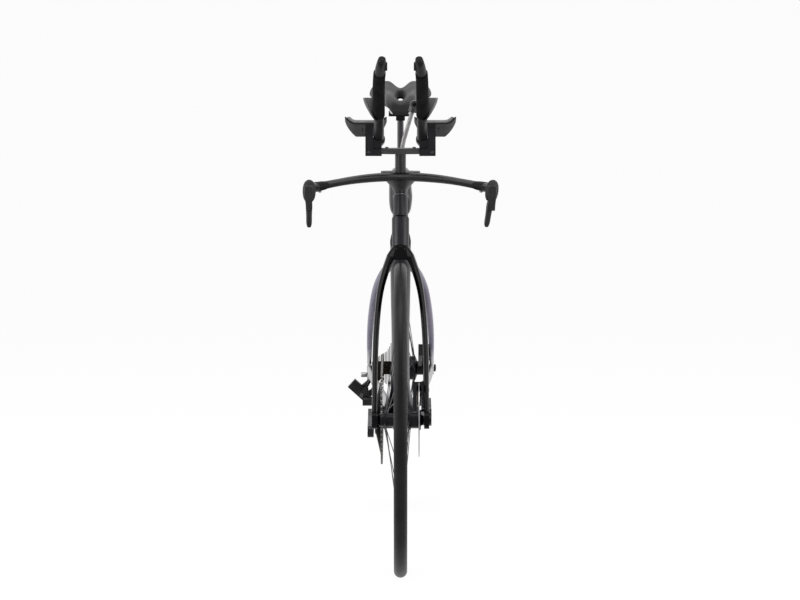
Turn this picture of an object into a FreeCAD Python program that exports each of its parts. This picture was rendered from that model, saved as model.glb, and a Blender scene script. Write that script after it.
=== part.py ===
import FreeCAD, Part
import math
import os
import Sketcher

os.makedirs("parts", exist_ok=True)

# Sizes in millimetres and degrees. The bike faces -Y, its left side is +X and Z is up.
# The origin is on the ground, midway between the axles.
SIZES = {
    # Stance
    "wheelbase": 1000,
    "head_angle": 72.5,
    "fork_rake": 45,
    "bracket_setback": 400,
    "bracket_drop": 70,
    "seat_angle": 77,
    # Fits
    "cut_overrun": 2,
    "running_fit": 0.05,
    "slide_fit": 0.3,
    "body_gap": 0.4,
    # Wheels
    "tyre_radius": 340,
    "rim_edge_radius": 316,
    "rim_edge_width": 21,
    "rim_width": 27,
    "rim_depth": 60,
    "rim_nose_width": 8,
    "spoke_diameter": 1.8,
    "spoke_grip": 3,
    "spoke_stagger": 1.4,
    "spoke_lace_angle": 44,
    "axle_radius": 6,
    "axle_head_radius": 9,
    "axle_head_length": 4,
    "bearing_width": 6,
    "hub_bearing_radius": 12,
    "hub_bore": 8.5,
    "hub_cap_radius": 9,
    "hub_cap_length": 6,
    "flange_half_thickness": 2.2,
    "front_hub_width": 100,
    "front_barrel_radius": 14,
    "front_flange_radius": 21,
    "front_right_flange": 33,
    "front_left_flange": 20,
    "front_rotor_place": 40,
    "rear_hub_width": 142,
    "rear_barrel_radius": 26,
    "rear_flange_radius": 29,
    "rear_right_flange": 18,
    "rear_left_flange": 34,
    "rear_rotor_place": 56,
    "rotor_radius": 80,
    "rotor_track": 14,
    "rotor_thickness": 1.8,
    "rotor_seat_radius": 17,
    "rotor_seat_margin": 3,
    "rotor_hub_ring": 8,
    "rotor_slot_radius": 2,
    # Frame tubes
    "crown_rise": 22,
    "head_length": 62,
    "head_half_width": 19,
    "head_nose": 24,
    "head_tail": 60,
    "steerer_radius": 12.5,
    "steerer_room": 1.5,
    "headset_radius": 16,
    "top_tube_half_width": 18,
    "top_tube_half_height": 26,
    "top_tube_lift": 37,
    "top_tube_rise": 8,
    "down_tube_half_width": 23,
    "down_tube_nose": 26,
    "down_tube_tail": 34,
    "down_tube_start_back": 55,
    "down_tube_lift": 6,
    "seat_tube_half_width": 17,
    "seat_tube_nose": 54,
    "seat_tube_tail": 48,
    "seat_tube_rise": 61,
    "wheel_room": 8,
    "bracket_shell_radius": 26,
    "bracket_shell_width": 86,
    "bracket_bearing_radius": 20.5,
    "bracket_bearing_width": 8,
    "stay_half_width": 8,
    "stay_half_depth": 12,
    "seatstay_drop": 99,
    "seatstay_spread": 75,
    "chainstay_half_depth": 14,
    "dropout_thickness": 10,
    "dropout_radius": 16,
    # Seatpost and saddle
    "post_half_width": 7.5,
    "post_nose": 32,
    "post_tail": 34,
    "post_insertion": 150,
    "post_socket": 215,
    "post_rise": 152,
    "wedge_width": 12,
    "wedge_depth": 12,
    "wedge_height": 34,
    "saddle_length": 240,
    "saddle_half_width": 72.5,
    "saddle_nose_ahead": 155.5,
    "saddle_rise": 40,
    "saddle_pad_depth": 24,
    "saddle_shell_thickness": 5,
    "saddle_hump": 26,
    "saddle_dip": 16,
    "relief_half_width": 13,
    "relief_length": 165,
    "rail_radius": 3.5,
    "rail_spacing": 44,
    "rail_rise": 20,
    "clamp_length": 44,
    "clamp_height": 20,
    # Fork
    "fork_half_width": 62,
    "fork_tip_thickness": 11,
    "fork_tip_radius": 19,
    "fork_leg_nose": 20,
    "fork_leg_tail": 26,
    "crown_gap": 0.6,
    "crown_room": 37,
    "crown_room_depth": 45,
    # Cockpit
    "spacer_height": 48,
    "spacer_half_width": 16,
    "spacer_nose": 32,
    "spacer_tail": 18,
    "bar_rise": 44,
    "bar_crown": 10,
    "bar_ahead": 35.88,
    "bar_half_width": 197,
    "bar_reach": 150,
    "bar_droop": 22,
    "bar_half_chord": 31,
    "bar_half_thickness": 9.5,
    "steerer_dip": 10,
    "riser_half_width": 12,
    "riser_half_chord": 25,
    "riser_height": 40,
    "bridge_half_width": 41,
    "bridge_thickness": 12,
    "bridge_half_chord": 22,
    "bridge_ahead": 43.6,
    "bracket_inner": 41.2,
    "bracket_column_inner": 60,
    "bracket_outer": 77,
    "bracket_foot_drop": 4,
    "bracket_foot_height": 15,
    "bracket_half_chord": 20,
    "cup_half_width": 46,
    "cup_centre": 76,
    "cup_length": 112,
    "cup_rise": 17,
    "cup_thickness": 3,
    "cup_tilt": 17,
    "cup_lift": 49,
    "cup_setback": 35,
    "pad_thickness": 9,
    "pad_margin": 2,
    "extension_half_gap": 47,
    "extension_toe": 8,
    "extension_radius": 11,
    "extension_setback": 50,
    "extension_lift": 24,
    "extension_run": 336,
    "extension_climb": 187,
    "grip_radius": 13.2,
    "wing_reach": 34,
    "wing_rise": 41,
    "wing_length": 26,
    "wing_thickness": 4,
    "collar_radius": 13,
    "hood_half_width": 14,
    "hood_half_height": 25,
    "hood_length": 56,
    "hood_twist": 9,
    "lever_length": 66,
    "lever_half_width": 7,
    "lever_half_depth": 5,
    "lever_eye_radius": 6.5,
    "lever_pin_radius": 2.5,
    "lever_slot_gap": 0.6,
    "button_radius": 6,
    "button_height": 7,
    "button_travel": 1.6,
    # Brakes
    "caliper_half_width": 13,
    "caliper_half_length": 34,
    "caliper_half_depth": 15,
    "caliper_slot": 10,
    "rotor_room": 4,
    "rear_caliper_tilt": 62,
    "brake_pad_thickness": 3.4,
    "brake_pad_half_length": 13,
    "brake_pad_half_depth": 11,
    # Reservoir and hose
    "cover_half_width": 25.5,
    "cover_height": 129,
    "cover_setback": 81,
    "cover_length": 215,
    "hose_radius": 4.75,
    "hose_port_radius": 9,
    "hose_port_height": 8,
    "mouthpiece_radius": 9.5,
    "mouthpiece_length": 24,
    "hose_rise": 132,
    "hose_side": 29,
    "hose_lean": 8,
    # Drivetrain
    "chain_pitch": 12.7,
    "chain_line": 43.4,
    "roller_radius": 3.85,
    "roller_width": 2.3,
    "plate_thickness": 0.55,
    "plate_half_height": 3.6,
    "pin_radius": 1.8,
    "plate_gap": 0.05,
    "tooth_room": 0.3,
    "tooth_height": 3.4,
    "sprocket_thickness": 1.6,
    "sprocket_pitch": 3.4,
    "spacer_wall": 1.5,
    "ring_thickness": 1.7,
    "ring_rim_depth": 12,
    "ring_dish": 15,
    "ring_web": 3,
    "ring_bore": 17,
    "spindle_radius": 14.5,
    "spindle_bore": 12,
    "crank_length": 168,
    "crank_outer": 75,
    "crank_thickness": 14,
    "left_crank_inset": 3,
    "left_collar_length": 12,
    "crank_boss_radius": 20,
    "crank_half_width": 14,
    "pedal_eye_radius": 13,
    "pedal_hole_radius": 7.1,
    "crank_angle": 4,
    "freehub_radius": 14.5,
    "freehub_start": 21.6,
    "freehub_length": 48,
    # Rear derailleur
    "guide_drop": 82,
    "guide_setback": 3,
    "cage_length": 56,
    "cage_angle": 24,
    "cage_plate": 2,
    "cage_half_gap": 4.6,
    "cage_plate_radius": 13,
    "cage_pin_radius": 2.5,
    "pulley_half_thickness": 1,
    "link_length": 40,
    "link_offset": 14,
    "link_eye_radius": 5,
    "link_half_thickness": 2.5,
    "link_half_width": 7,
    "link_pin_radius": 2.5,
    "link_slant": 30,
    "link_lean": 32,
    "lug_thickness": 3,
    "lug_radius": 6,
    "lug_reach": 10,
    "lug_root": 7,
    "knuckle_radius": 11,
    "knuckle_outer": 92,
    "knuckle_pivot_out": 80,
    "knuckle_pivot_back": 12,
    "knuckle_pivot_up": 22,
    "mount_bolt_radius": 7,
    "mount_bolt_length": 8.4,
    "mount_arm_radius": 5,
    "cage_stub_radius": 5,
    "cage_stub_length": 12,
    "battery_length": 50,
    "battery_width": 26,
    "battery_depth": 22,
    "battery_tilt": 42,
    "battery_out": 101,
    "battery_back": 57,
    "battery_drop": 60,
}

# Teeth, counts and chosen sprocket
RING_TEETH = 52
CASSETTE_TEETH = [10, 11, 12, 13, 14, 15, 16, 17, 18, 21, 24, 28]
DRIVEN_SPROCKET = 5
PULLEY_TEETH = 12
FRONT_SPOKES = 20
REAR_SPOKES = 24
ROTOR_WINDOWS = 6
ROTOR_SLOTS = 18

doc = FreeCAD.newDocument("time_trial_bike")
sheet = doc.addObject("Spreadsheet::Sheet", "Sizes")
for row, (alias, number) in enumerate(SIZES.items(), 1):
    sheet.set(f"A{row}", alias)
    sheet.set(f"B{row}", str(number))
    sheet.setAlias(f"B{row}", alias)
doc.recompute()


class Size(float):
    """A number that remembers the sheet expression it came from."""

    def __new__(cls, number, text):
        made = float.__new__(cls, number)
        made.text = text
        return made

    def __add__(self, other):
        return Size(float(self) + float(other), f"({self.text} + {words(other)})")

    def __radd__(self, other):
        return Size(float(other) + float(self), f"({words(other)} + {self.text})")

    def __sub__(self, other):
        return Size(float(self) - float(other), f"({self.text} - {words(other)})")

    def __rsub__(self, other):
        return Size(float(other) - float(self), f"({words(other)} - {self.text})")

    def __mul__(self, other):
        return Size(float(self) * float(other), f"({self.text} * {words(other)})")

    def __rmul__(self, other):
        return Size(float(other) * float(self), f"({words(other)} * {self.text})")

    def __truediv__(self, other):
        return Size(float(self) / float(other), f"({self.text} / {words(other)})")

    def __neg__(self):
        return Size(-float(self), f"(-1 * {self.text})")


def words(number):
    """The expression text of a size, or of a plain number."""
    if isinstance(number, Size):
        return number.text
    return repr(float(number))


class SheetSizes:
    """Reads each size from the sheet by its alias."""

    def __getattr__(self, alias):
        return Size(sheet.get(alias), f"Sizes.{alias}")


S = SheetSizes()
X = FreeCAD.Vector(1, 0, 0)
Y = FreeCAD.Vector(0, 1, 0)
Z = FreeCAD.Vector(0, 0, 1)
ORIGIN = FreeCAD.Vector()
SUBPARTS = []


def at(x, y, z):
    return FreeCAD.Vector(x, y, z)


def sub_part(label, thing, placement=None):
    """Names a finished object as one sub-part and puts it in place."""
    thing.Label = label
    if placement is not None:
        thing.Placement = placement
    SUBPARTS.append((label, thing))
    return thing


def formed(label, shape, placement=None):
    """A sub-part whose form is made by solid functions from the sheet's sizes."""
    thing = doc.addObject("Part::Feature", label)
    thing.Shape = shape
    return sub_part(label, thing, placement)


def moved(place):
    return FreeCAD.Placement(place, FreeCAD.Rotation())


def turned(place, axis, angle):
    return FreeCAD.Placement(place, FreeCAD.Rotation(axis, float(angle)))


# Sketch helpers: outlines whose corners are bound to the sheet


def new_sketch(body, role, name):
    sketch = body.newObject("Sketcher::SketchObject", name)
    plane = [f for f in body.Origin.OriginFeatures if f.Role == role][0]
    sketch.AttachmentSupport = [(plane, "")]
    sketch.MapMode = "FlatFace"
    return sketch


def fix_point(sketch, edge, end, x, y):
    """Pins one point of a sketch to its two sizes."""
    for kind, line, number in (("DistanceX", -2, x), ("DistanceY", -1, y)):
        if float(number) == 0:
            sketch.addConstraint(Sketcher.Constraint("PointOnObject", edge, end, line))
            continue
        rule = sketch.addConstraint(Sketcher.Constraint(kind, -1, 1, edge, end, float(number)))
        if isinstance(number, Size):
            sketch.setExpression(f"Constraints[{rule}]", number.text)


def closed_outline(sketch, corners):
    """Draws a loop of lines and arcs. A corner with a third item starts an arc through it."""
    ends = []
    for index, corner in enumerate(corners):
        after = corners[(index + 1) % len(corners)]
        start = at(corner[0], corner[1], 0)
        stop = at(after[0], after[1], 0)
        if len(corner) == 2:
            edge = sketch.addGeometry(Part.LineSegment(start, stop), False)
            ends.append((edge, 1, 2))
            continue
        through = at(corner[2][0], corner[2][1], 0)
        forward = (through - start).cross(stop - through).z > 0
        arc = Part.Arc(start, through, stop) if forward else Part.Arc(stop, through, start)
        edge = sketch.addGeometry(arc, False)
        ends.append((edge, 1, 2) if forward else (edge, 2, 1))
    for index, corner in enumerate(corners):
        edge, begin, _ = ends[index]
        before, _, finish = ends[index - 1]
        sketch.addConstraint(Sketcher.Constraint("Coincident", before, finish, edge, begin))
        fix_point(sketch, edge, begin, corner[0], corner[1])
    for index, corner in enumerate(corners):
        if len(corner) == 3:
            spot = sketch.addGeometry(Part.Point(at(corner[2][0], corner[2][1], 0)), True)
            sketch.addConstraint(Sketcher.Constraint("PointOnObject", spot, 1, ends[index][0]))
            fix_point(sketch, spot, 1, corner[2][0], corner[2][1])


def round_outline(sketch, x, y, radius):
    """Draws a circle bound to its sizes."""
    edge = sketch.addGeometry(Part.Circle(at(x, y, 0), Z, float(radius)), False)
    rule = sketch.addConstraint(Sketcher.Constraint("Radius", edge, float(radius)))
    sketch.setExpression(f"Constraints[{rule}]", radius.text)
    fix_point(sketch, edge, 3, x, y)


def lathe(label, corners):
    """A body turned about its own X axis from an outline of (place, radius) corners."""
    body = doc.addObject("PartDesign::Body", label)
    sketch = new_sketch(body, "XY_Plane", label + "_outline")
    closed_outline(sketch, corners)
    turn = body.newObject("PartDesign::Revolution", label + "_turn")
    turn.Profile = sketch
    turn.ReferenceAxis = (sketch, ["H_Axis"])
    turn.Angle = 360
    body.Tip = turn
    return body


def pad_body(label, role, corners, length, holes=()):
    """A body padded on both sides of one of its planes, with round holes (x, y, radius)."""
    body = doc.addObject("PartDesign::Body", label)
    sketch = new_sketch(body, role, label + "_outline")
    closed_outline(sketch, corners)
    for x, y, radius in holes:
        round_outline(sketch, x, y, radius)
    pad = body.newObject("PartDesign::Pad", label + "_pad")
    pad.Profile = sketch
    pad.SideType = "Symmetric"
    pad.setExpression("Length", length.text)
    body.Tip = pad
    return body


# Solid helpers: round bars and lofts through smooth rings

# Outline of a blunt-tailed foil: share of the half width, then share of the nose (-) or tail (+) length
FOIL_SHARES = [
    (0, -1), (0.56, -0.82), (0.9, -0.42), (1, 0.05), (0.93, 0.5), (0.74, 0.88), (0.36, 1),
    (-0.36, 1), (-0.74, 0.88), (-0.93, 0.5), (-1, 0.05), (-0.9, -0.42), (-0.56, -0.82),
]


def oval_shares(squareness, count=12):
    """Points of a rounded oval: 2 is an ellipse, larger is squarer."""
    shares = []
    for step in range(count):
        angle = 2 * math.pi * step / count
        a, b = math.cos(angle), math.sin(angle)
        power = 2 / squareness
        shares.append((math.copysign(abs(a) ** power, a), math.copysign(abs(b) ** power, b)))
    return shares


OVAL_SHARES = oval_shares(2.2)
BOXY_SHARES = oval_shares(3.4, 16)


def ring(centre, across, along, half_across, fore, aft, shares):
    """A closed smooth ring: across is its width, along runs from nose to tail."""
    points = []
    for a, b in shares:
        reach = aft if b > 0 else fore
        points.append(centre + across * (a * float(half_across)) + along * (b * float(reach)))
    curve = Part.BSplineCurve()
    curve.interpolate(points, PeriodicFlag=True)
    return Part.Wire(curve.toShape())


def skin(rings):
    return Part.makeLoft(rings, True, False)


def slopes(runs, column):
    """Slopes at each row that let a smooth line through a column keep within its rows."""
    rises = [
        (after - before) / (stop - start)
        for before, after, start, stop in zip(column, column[1:], runs, runs[1:])
    ]
    made = [rises[0]]
    for before, after in zip(rises, rises[1:]):
        made.append(0 if before * after <= 0 else 2 * before * after / (before + after))
    return made + [rises[-1]]


def evened(table, steps):
    """The rows of a table of shares read again at even steps of its first column."""
    runs = [row[0] for row in table]
    columns = list(zip(*table))
    lines = [slopes(runs, column) for column in columns]
    rows = []
    for step in range(steps + 1):
        run = runs[0] + (runs[-1] - runs[0]) * step / steps
        spans = [i for i in range(len(runs) - 1) if (runs[i] - run) * (runs[i + 1] - run) <= 0]
        i = spans[0]
        width = runs[i + 1] - runs[i]
        t = (run - runs[i]) / width
        rows.append([
            column[i] * (1 + 2 * t) * (1 - t) ** 2 + line[i] * width * t * (1 - t) ** 2
            + column[i + 1] * t * t * (3 - 2 * t) + line[i + 1] * width * t * t * (t - 1)
            for column, line in zip(columns, lines)
        ])
    return rows


def bar(start, stop, radius):
    """A round bar between two points."""
    return Part.makeCylinder(float(radius), start.distanceToPoint(stop), start, stop - start)


def tube(start, stop, outer, inner):
    return bar(start, stop, outer).cut(bar(start, stop, inner))


def block(low, high):
    """A box between two opposite corners."""
    size = high - low
    return Part.makeBox(size.x, size.y, size.z, low)


def prism(points, along):
    """A straight-sided solid on a polygon."""
    return Part.Face(Part.makePolygon(points + points[:1])).extrude(along)


def mirrored(shape):
    """The same shape on the other side of the bike."""
    return shape.mirror(ORIGIN, X)


def fused(shapes):
    first = shapes[0]
    for shape in shapes[1:]:
        first = first.fuse(shape)
    return first


def grouped(shapes):
    return Part.makeCompound(shapes)


def largest(shape):
    """The biggest solid that a cut leaves, without its loose crumbs."""
    return max(shape.Solids, key=lambda solid: solid.Volume)


# Stance: axles, steering axis, bottom bracket and seat line
FRONT_AXLE = at(0, -S.wheelbase / 2, S.tyre_radius)
REAR_AXLE = at(0, S.wheelbase / 2, S.tyre_radius)
BRACKET = at(0, S.wheelbase / 2 - S.bracket_setback, S.tyre_radius - S.bracket_drop)
HEAD_ANGLE = math.radians(S.head_angle)
SEAT_ANGLE = math.radians(S.seat_angle)
STEER_UP = at(0, math.cos(HEAD_ANGLE), math.sin(HEAD_ANGLE))
STEER_BACK = at(0, math.sin(HEAD_ANGLE), -math.cos(HEAD_ANGLE))
STEER_FOOT = FRONT_AXLE + STEER_BACK * float(S.fork_rake)
SEAT_UP = at(0, math.cos(SEAT_ANGLE), math.sin(SEAT_ANGLE))


def steer(height):
    """The point of the steering axis at a height."""
    return STEER_FOOT + STEER_UP * ((height - STEER_FOOT.z) / STEER_UP.z)


def seat_line(height):
    """The point of the seat line at a height."""
    return BRACKET + SEAT_UP * ((height - BRACKET.z) / SEAT_UP.z)


# Heights, each above or below what carries it, from the tyre upwards
HEAD_BOTTOM = S.tyre_radius * 2 + S.crown_rise
HEAD_TOP = HEAD_BOTTOM + S.head_length
TOP_TUBE_HEIGHT = HEAD_BOTTOM + S.top_tube_lift
DOWN_TUBE_START = HEAD_BOTTOM + S.down_tube_lift
COVER_TOP = TOP_TUBE_HEIGHT + S.cover_height
SPACER_TOP = HEAD_TOP + S.spacer_height
BAR_HEIGHT = SPACER_TOP + S.bar_rise
BAR_TOP = BAR_HEIGHT + S.bar_crown
STEERER_TOP = BAR_HEIGHT - S.steerer_dip
RISER_TOP = BAR_TOP + S.riser_height
FOOT_BOTTOM = RISER_TOP - S.bracket_foot_drop
FOOT_TOP = FOOT_BOTTOM + S.bracket_foot_height
EXTENSION_HEIGHT = RISER_TOP + S.extension_lift
CUP_HEIGHT = RISER_TOP + S.cup_lift
SEAT_TUBE_TOP = TOP_TUBE_HEIGHT + S.seat_tube_rise
SEATSTAY_TOP = TOP_TUBE_HEIGHT - S.seatstay_drop
POST_HEAD = SEAT_TUBE_TOP + S.post_rise
RAIL_HEIGHT = POST_HEAD + S.rail_rise
SADDLE_HEIGHT = RAIL_HEIGHT + S.saddle_rise
# Places ahead of the origin, from the steering axis, and the saddle's nose from the seat line
BAR_PLACE = S.bar_ahead - steer(BAR_HEIGHT).y
BRIDGE_PLACE = S.bridge_ahead - steer(RISER_TOP).y
CUP_PLACE = BRIDGE_PLACE - S.cup_setback
EXTENSION_PLACE = BRIDGE_PLACE - S.extension_setback
COVER_FRONT = -steer(TOP_TUBE_HEIGHT).y - S.cover_setback
SADDLE_NOSE = seat_line(POST_HEAD).y - S.saddle_nose_ahead


# Wheels: tyre, deep rim, laced spokes, hub with its bearings, slotted rotor


def tyre_body(label):
    edge = S.rim_edge_width / 2
    return lathe(label, [
        (-edge, S.rim_edge_radius, (0, S.tyre_radius)),
        (edge, S.rim_edge_radius),
    ])


def rim_body(label):
    edge = S.rim_edge_width / 2
    nose = S.rim_nose_width / 2
    widest = S.rim_edge_radius - S.rim_depth * 0.35
    foot = S.rim_edge_radius - S.rim_depth * 0.95
    return lathe(label, [
        (edge, S.rim_edge_radius, (S.rim_width / 2, widest)),
        (nose, foot, (0, S.rim_edge_radius - S.rim_depth)),
        (-nose, foot, (-S.rim_width / 2, widest)),
        (-edge, S.rim_edge_radius),
    ])


def hub_bearings(places):
    """Cartridge bearings on the axle, one at each place along it."""
    half = X * (S.bearing_width / 2)
    rings = []
    for place in places:
        middle = X * float(place)
        rings.append(tube(middle - half, middle + half, S.hub_bearing_radius, S.axle_radius + S.running_fit))
    return rings


def front_hub():
    end = S.front_hub_width / 2 - S.body_gap
    cap = S.front_hub_width / 2 - S.hub_cap_length
    bearing = cap - S.bearing_width / 2
    hole = S.axle_radius + S.running_fit
    flange = S.flange_half_thickness
    seat = S.front_rotor_place + S.rotor_seat_margin
    shell = lathe("front_hub_shell", [
        (-end, hole),
        (-end, S.hub_cap_radius),
        (-cap, S.front_barrel_radius),
        (-S.front_right_flange - flange, S.front_barrel_radius),
        (-S.front_right_flange - flange, S.front_flange_radius),
        (-S.front_right_flange + flange, S.front_flange_radius),
        (-S.front_right_flange + flange, S.front_barrel_radius),
        (S.front_left_flange - flange, S.front_barrel_radius),
        (S.front_left_flange - flange, S.front_flange_radius),
        (S.front_left_flange + flange, S.front_flange_radius),
        (S.front_left_flange + flange, S.rotor_seat_radius),
        (seat, S.rotor_seat_radius),
        (seat, S.front_barrel_radius),
        (end, S.hub_cap_radius),
        (end, hole),
        (cap, hole),
        (cap, S.hub_bearing_radius),
        (cap - S.bearing_width, S.hub_bearing_radius),
        (cap - S.bearing_width, S.hub_bore),
        (-cap + S.bearing_width, S.hub_bore),
        (-cap + S.bearing_width, S.hub_bearing_radius),
        (-cap, S.hub_bearing_radius),
        (-cap, hole),
    ])
    return shell, hub_bearings([-bearing, bearing])


def rear_hub():
    right = S.freehub_start - S.body_gap
    left = S.rear_hub_width / 2 - S.body_gap
    cap = S.rear_hub_width / 2 - S.hub_cap_length
    hole = S.axle_radius + S.running_fit
    flange = S.flange_half_thickness
    seat = S.rear_rotor_place + S.rotor_seat_margin
    inner = right - S.hub_cap_length / 2
    shell = lathe("rear_hub_shell", [
        (-right, hole),
        (-right, S.rear_barrel_radius),
        (-S.rear_right_flange - flange, S.rear_flange_radius),
        (-S.rear_right_flange + flange, S.rear_flange_radius),
        (0, S.rear_barrel_radius),
        (S.rear_left_flange - flange, S.rear_flange_radius),
        (S.rear_left_flange + flange, S.rear_flange_radius),
        (S.rear_left_flange + flange * 3, S.rotor_seat_radius),
        (seat, S.rotor_seat_radius),
        (seat, S.front_barrel_radius),
        (cap, S.front_barrel_radius),
        (left, S.hub_cap_radius),
        (left, hole),
        (cap, hole),
        (cap, S.hub_bearing_radius),
        (cap - S.bearing_width, S.hub_bearing_radius),
        (cap - S.bearing_width, S.hub_bore),
        (-inner + S.bearing_width, S.hub_bore),
        (-inner + S.bearing_width, S.hub_bearing_radius),
        (-inner, S.hub_bearing_radius),
        (-inner, hole),
    ])
    return shell, hub_bearings([-inner + S.bearing_width / 2, cap - S.bearing_width / 2])


def spokes(count, right_flange, left_flange, flange_radius):
    """Crossed spokes, half on each flange, leaning forward and back in turn."""
    rim_radius = S.rim_edge_radius - S.rim_depth + S.spoke_grip
    hub_radius = flange_radius - S.spoke_grip
    made = []
    for number in range(count):
        side = -right_flange if number % 2 else left_flange
        lean = 1 if number // 2 % 2 else -1
        rim_angle = 2 * math.pi * number / count
        hub_angle = rim_angle + lean * math.radians(S.spoke_lace_angle)
        start = at(side + lean * S.spoke_stagger, hub_radius * math.cos(hub_angle),
                   hub_radius * math.sin(hub_angle))
        stop = at(0, rim_radius * math.cos(rim_angle), rim_radius * math.sin(rim_angle))
        made.append(bar(start, stop, S.spoke_diameter / 2))
    return grouped(made)


def rotor_body(label):
    """A flat disc with windows between its arms and slots through its brake track."""
    body = doc.addObject("PartDesign::Body", label)
    sketch = new_sketch(body, "YZ_Plane", label + "_disc")
    round_outline(sketch, 0, 0, S.rotor_radius)
    round_outline(sketch, 0, 0, S.rotor_seat_radius)
    pad = body.newObject("PartDesign::Pad", label + "_pad")
    pad.Profile = sketch
    pad.SideType = "Symmetric"
    pad.setExpression("Length", S.rotor_thickness.text)
    track = S.rotor_radius - S.rotor_track
    hub = S.rotor_seat_radius + S.rotor_hub_ring
    window = new_sketch(body, "YZ_Plane", label + "_window")
    closed_outline(window, [
        (track * 0.42, track * 0.9, (track * 0.12, track * 0.98)),
        (-track * 0.2, track * 0.96),
        (-hub * 0.5, hub * 0.9, (-hub * 0.05, hub * 1.03)),
        (hub * 0.35, hub * 0.97),
    ])
    slot = new_sketch(body, "YZ_Plane", label + "_slot")
    round_outline(slot, 0, S.rotor_radius - S.rotor_track / 2, S.rotor_slot_radius)
    body.Tip = pad
    axis = [f for f in body.Origin.OriginFeatures if f.Role == "X_Axis"][0]
    for drawing, count in ((window, ROTOR_WINDOWS), (slot, ROTOR_SLOTS)):
        cut = body.newObject("PartDesign::Pocket", drawing.Name + "_cut")
        cut.Profile = drawing
        cut.Type = "ThroughAll"
        cut.SideType = "Symmetric"
        body.Tip = cut
        doc.recompute()
        pattern = body.newObject("PartDesign::PolarPattern", drawing.Name + "_pattern")
        pattern.Originals = [cut]
        pattern.Axis = (axis, [""])
        pattern.Angle = 360
        body.Tip = pattern
        pattern.Occurrences = count
        doc.recompute()
    return body


def axle_body(label, half_length):
    """A thru axle along X with a flanged head at its left end."""
    return lathe(label, [
        (-half_length, 0),
        (-half_length, S.axle_radius),
        (half_length, S.axle_radius),
        (half_length, S.axle_head_radius),
        (half_length + S.axle_head_length, S.axle_head_radius),
        (half_length + S.axle_head_length, 0),
    ])


def wheel(name, axle, hub, rotor_place, lacing):
    shell, bearings = hub
    sub_part(name + "_tyre", tyre_body(name + "_tyre"), moved(axle))
    sub_part(name + "_rim", rim_body(name + "_rim"), moved(axle))
    formed(name + "_spokes", lacing, moved(axle))
    races = doc.addObject("Part::Feature", name + "_races")
    races.Shape = grouped(bearings)
    whole = doc.addObject("Part::Compound", name + "_hub")
    whole.Links = [shell, races]
    sub_part(name + "_hub", whole, moved(axle))
    sub_part(name + "_rotor", rotor_body(name + "_rotor"), moved(axle + X * float(rotor_place)))


wheel("front", FRONT_AXLE, front_hub(), S.front_rotor_place,
      spokes(FRONT_SPOKES, S.front_right_flange, S.front_left_flange, S.front_flange_radius))
wheel("rear", REAR_AXLE, rear_hub(), S.rear_rotor_place,
      spokes(REAR_SPOKES, S.rear_right_flange, S.rear_left_flange, S.rear_flange_radius))
sub_part("front_thru_axle", axle_body("front_thru_axle", S.fork_half_width), moved(FRONT_AXLE))
sub_part("rear_thru_axle", axle_body("rear_thru_axle", S.rear_hub_width / 2 + S.dropout_thickness),
         moved(REAR_AXLE))

# Main frame: head, top, down and seat tubes and the bottom bracket shell, moulded as one piece

# Down tube: share of its length, of its half width and of its nose depth
DOWN_TUBE_SHARES = [(0, 1, 1), (0.25, 0.96, 1.3), (0.55, 0.88, 1.5), (0.8, 0.92, 1.3), (1, 1.45, 0.95)]
# Seat tube: share of its height, half width, nose and tail
SEAT_TUBE_SHARES = [
    (0, 2.2, 0.48, 0.55), (0.07, 1.7, 0.5, 0.7), (0.2, 1.05, 0.55, 0.9), (0.5, 1, 0.62, 1),
    (0.8, 1, 0.9, 1), (1, 1, 1, 1),
]
# Top tube: share of its length, half width and half height
TOP_TUBE_SHARES = [(0, 0.95, 0.95), (0.3, 1, 1), (0.7, 0.95, 0.9), (1, 0.9, 1.05)]


def post_rings(low, high, extra):
    """Foil rings of the seatpost between two heights, grown by a clearance."""
    return [
        ring(seat_line(height), X, Y, S.post_half_width + extra, S.post_nose + extra,
             S.post_tail + extra, FOIL_SHARES)
        for height in (low, high)
    ]


def wedge_prism(clearance):
    """The clamp wedge in front of the seatpost, shrunk on every side by a clearance."""
    low = seat_line(SEAT_TUBE_TOP - S.wedge_height + clearance)
    high = seat_line(SEAT_TUBE_TOP - clearance)
    back = -Y * float(S.post_nose + S.slide_fit + clearance)
    front = back - Y * float(S.wedge_depth - clearance * 2)
    half = S.wedge_width / 2 - clearance
    side = X * float(half)
    return prism([low + back - side, low + front - side, high + front - side, high + back - side],
                 side * 2)


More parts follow.
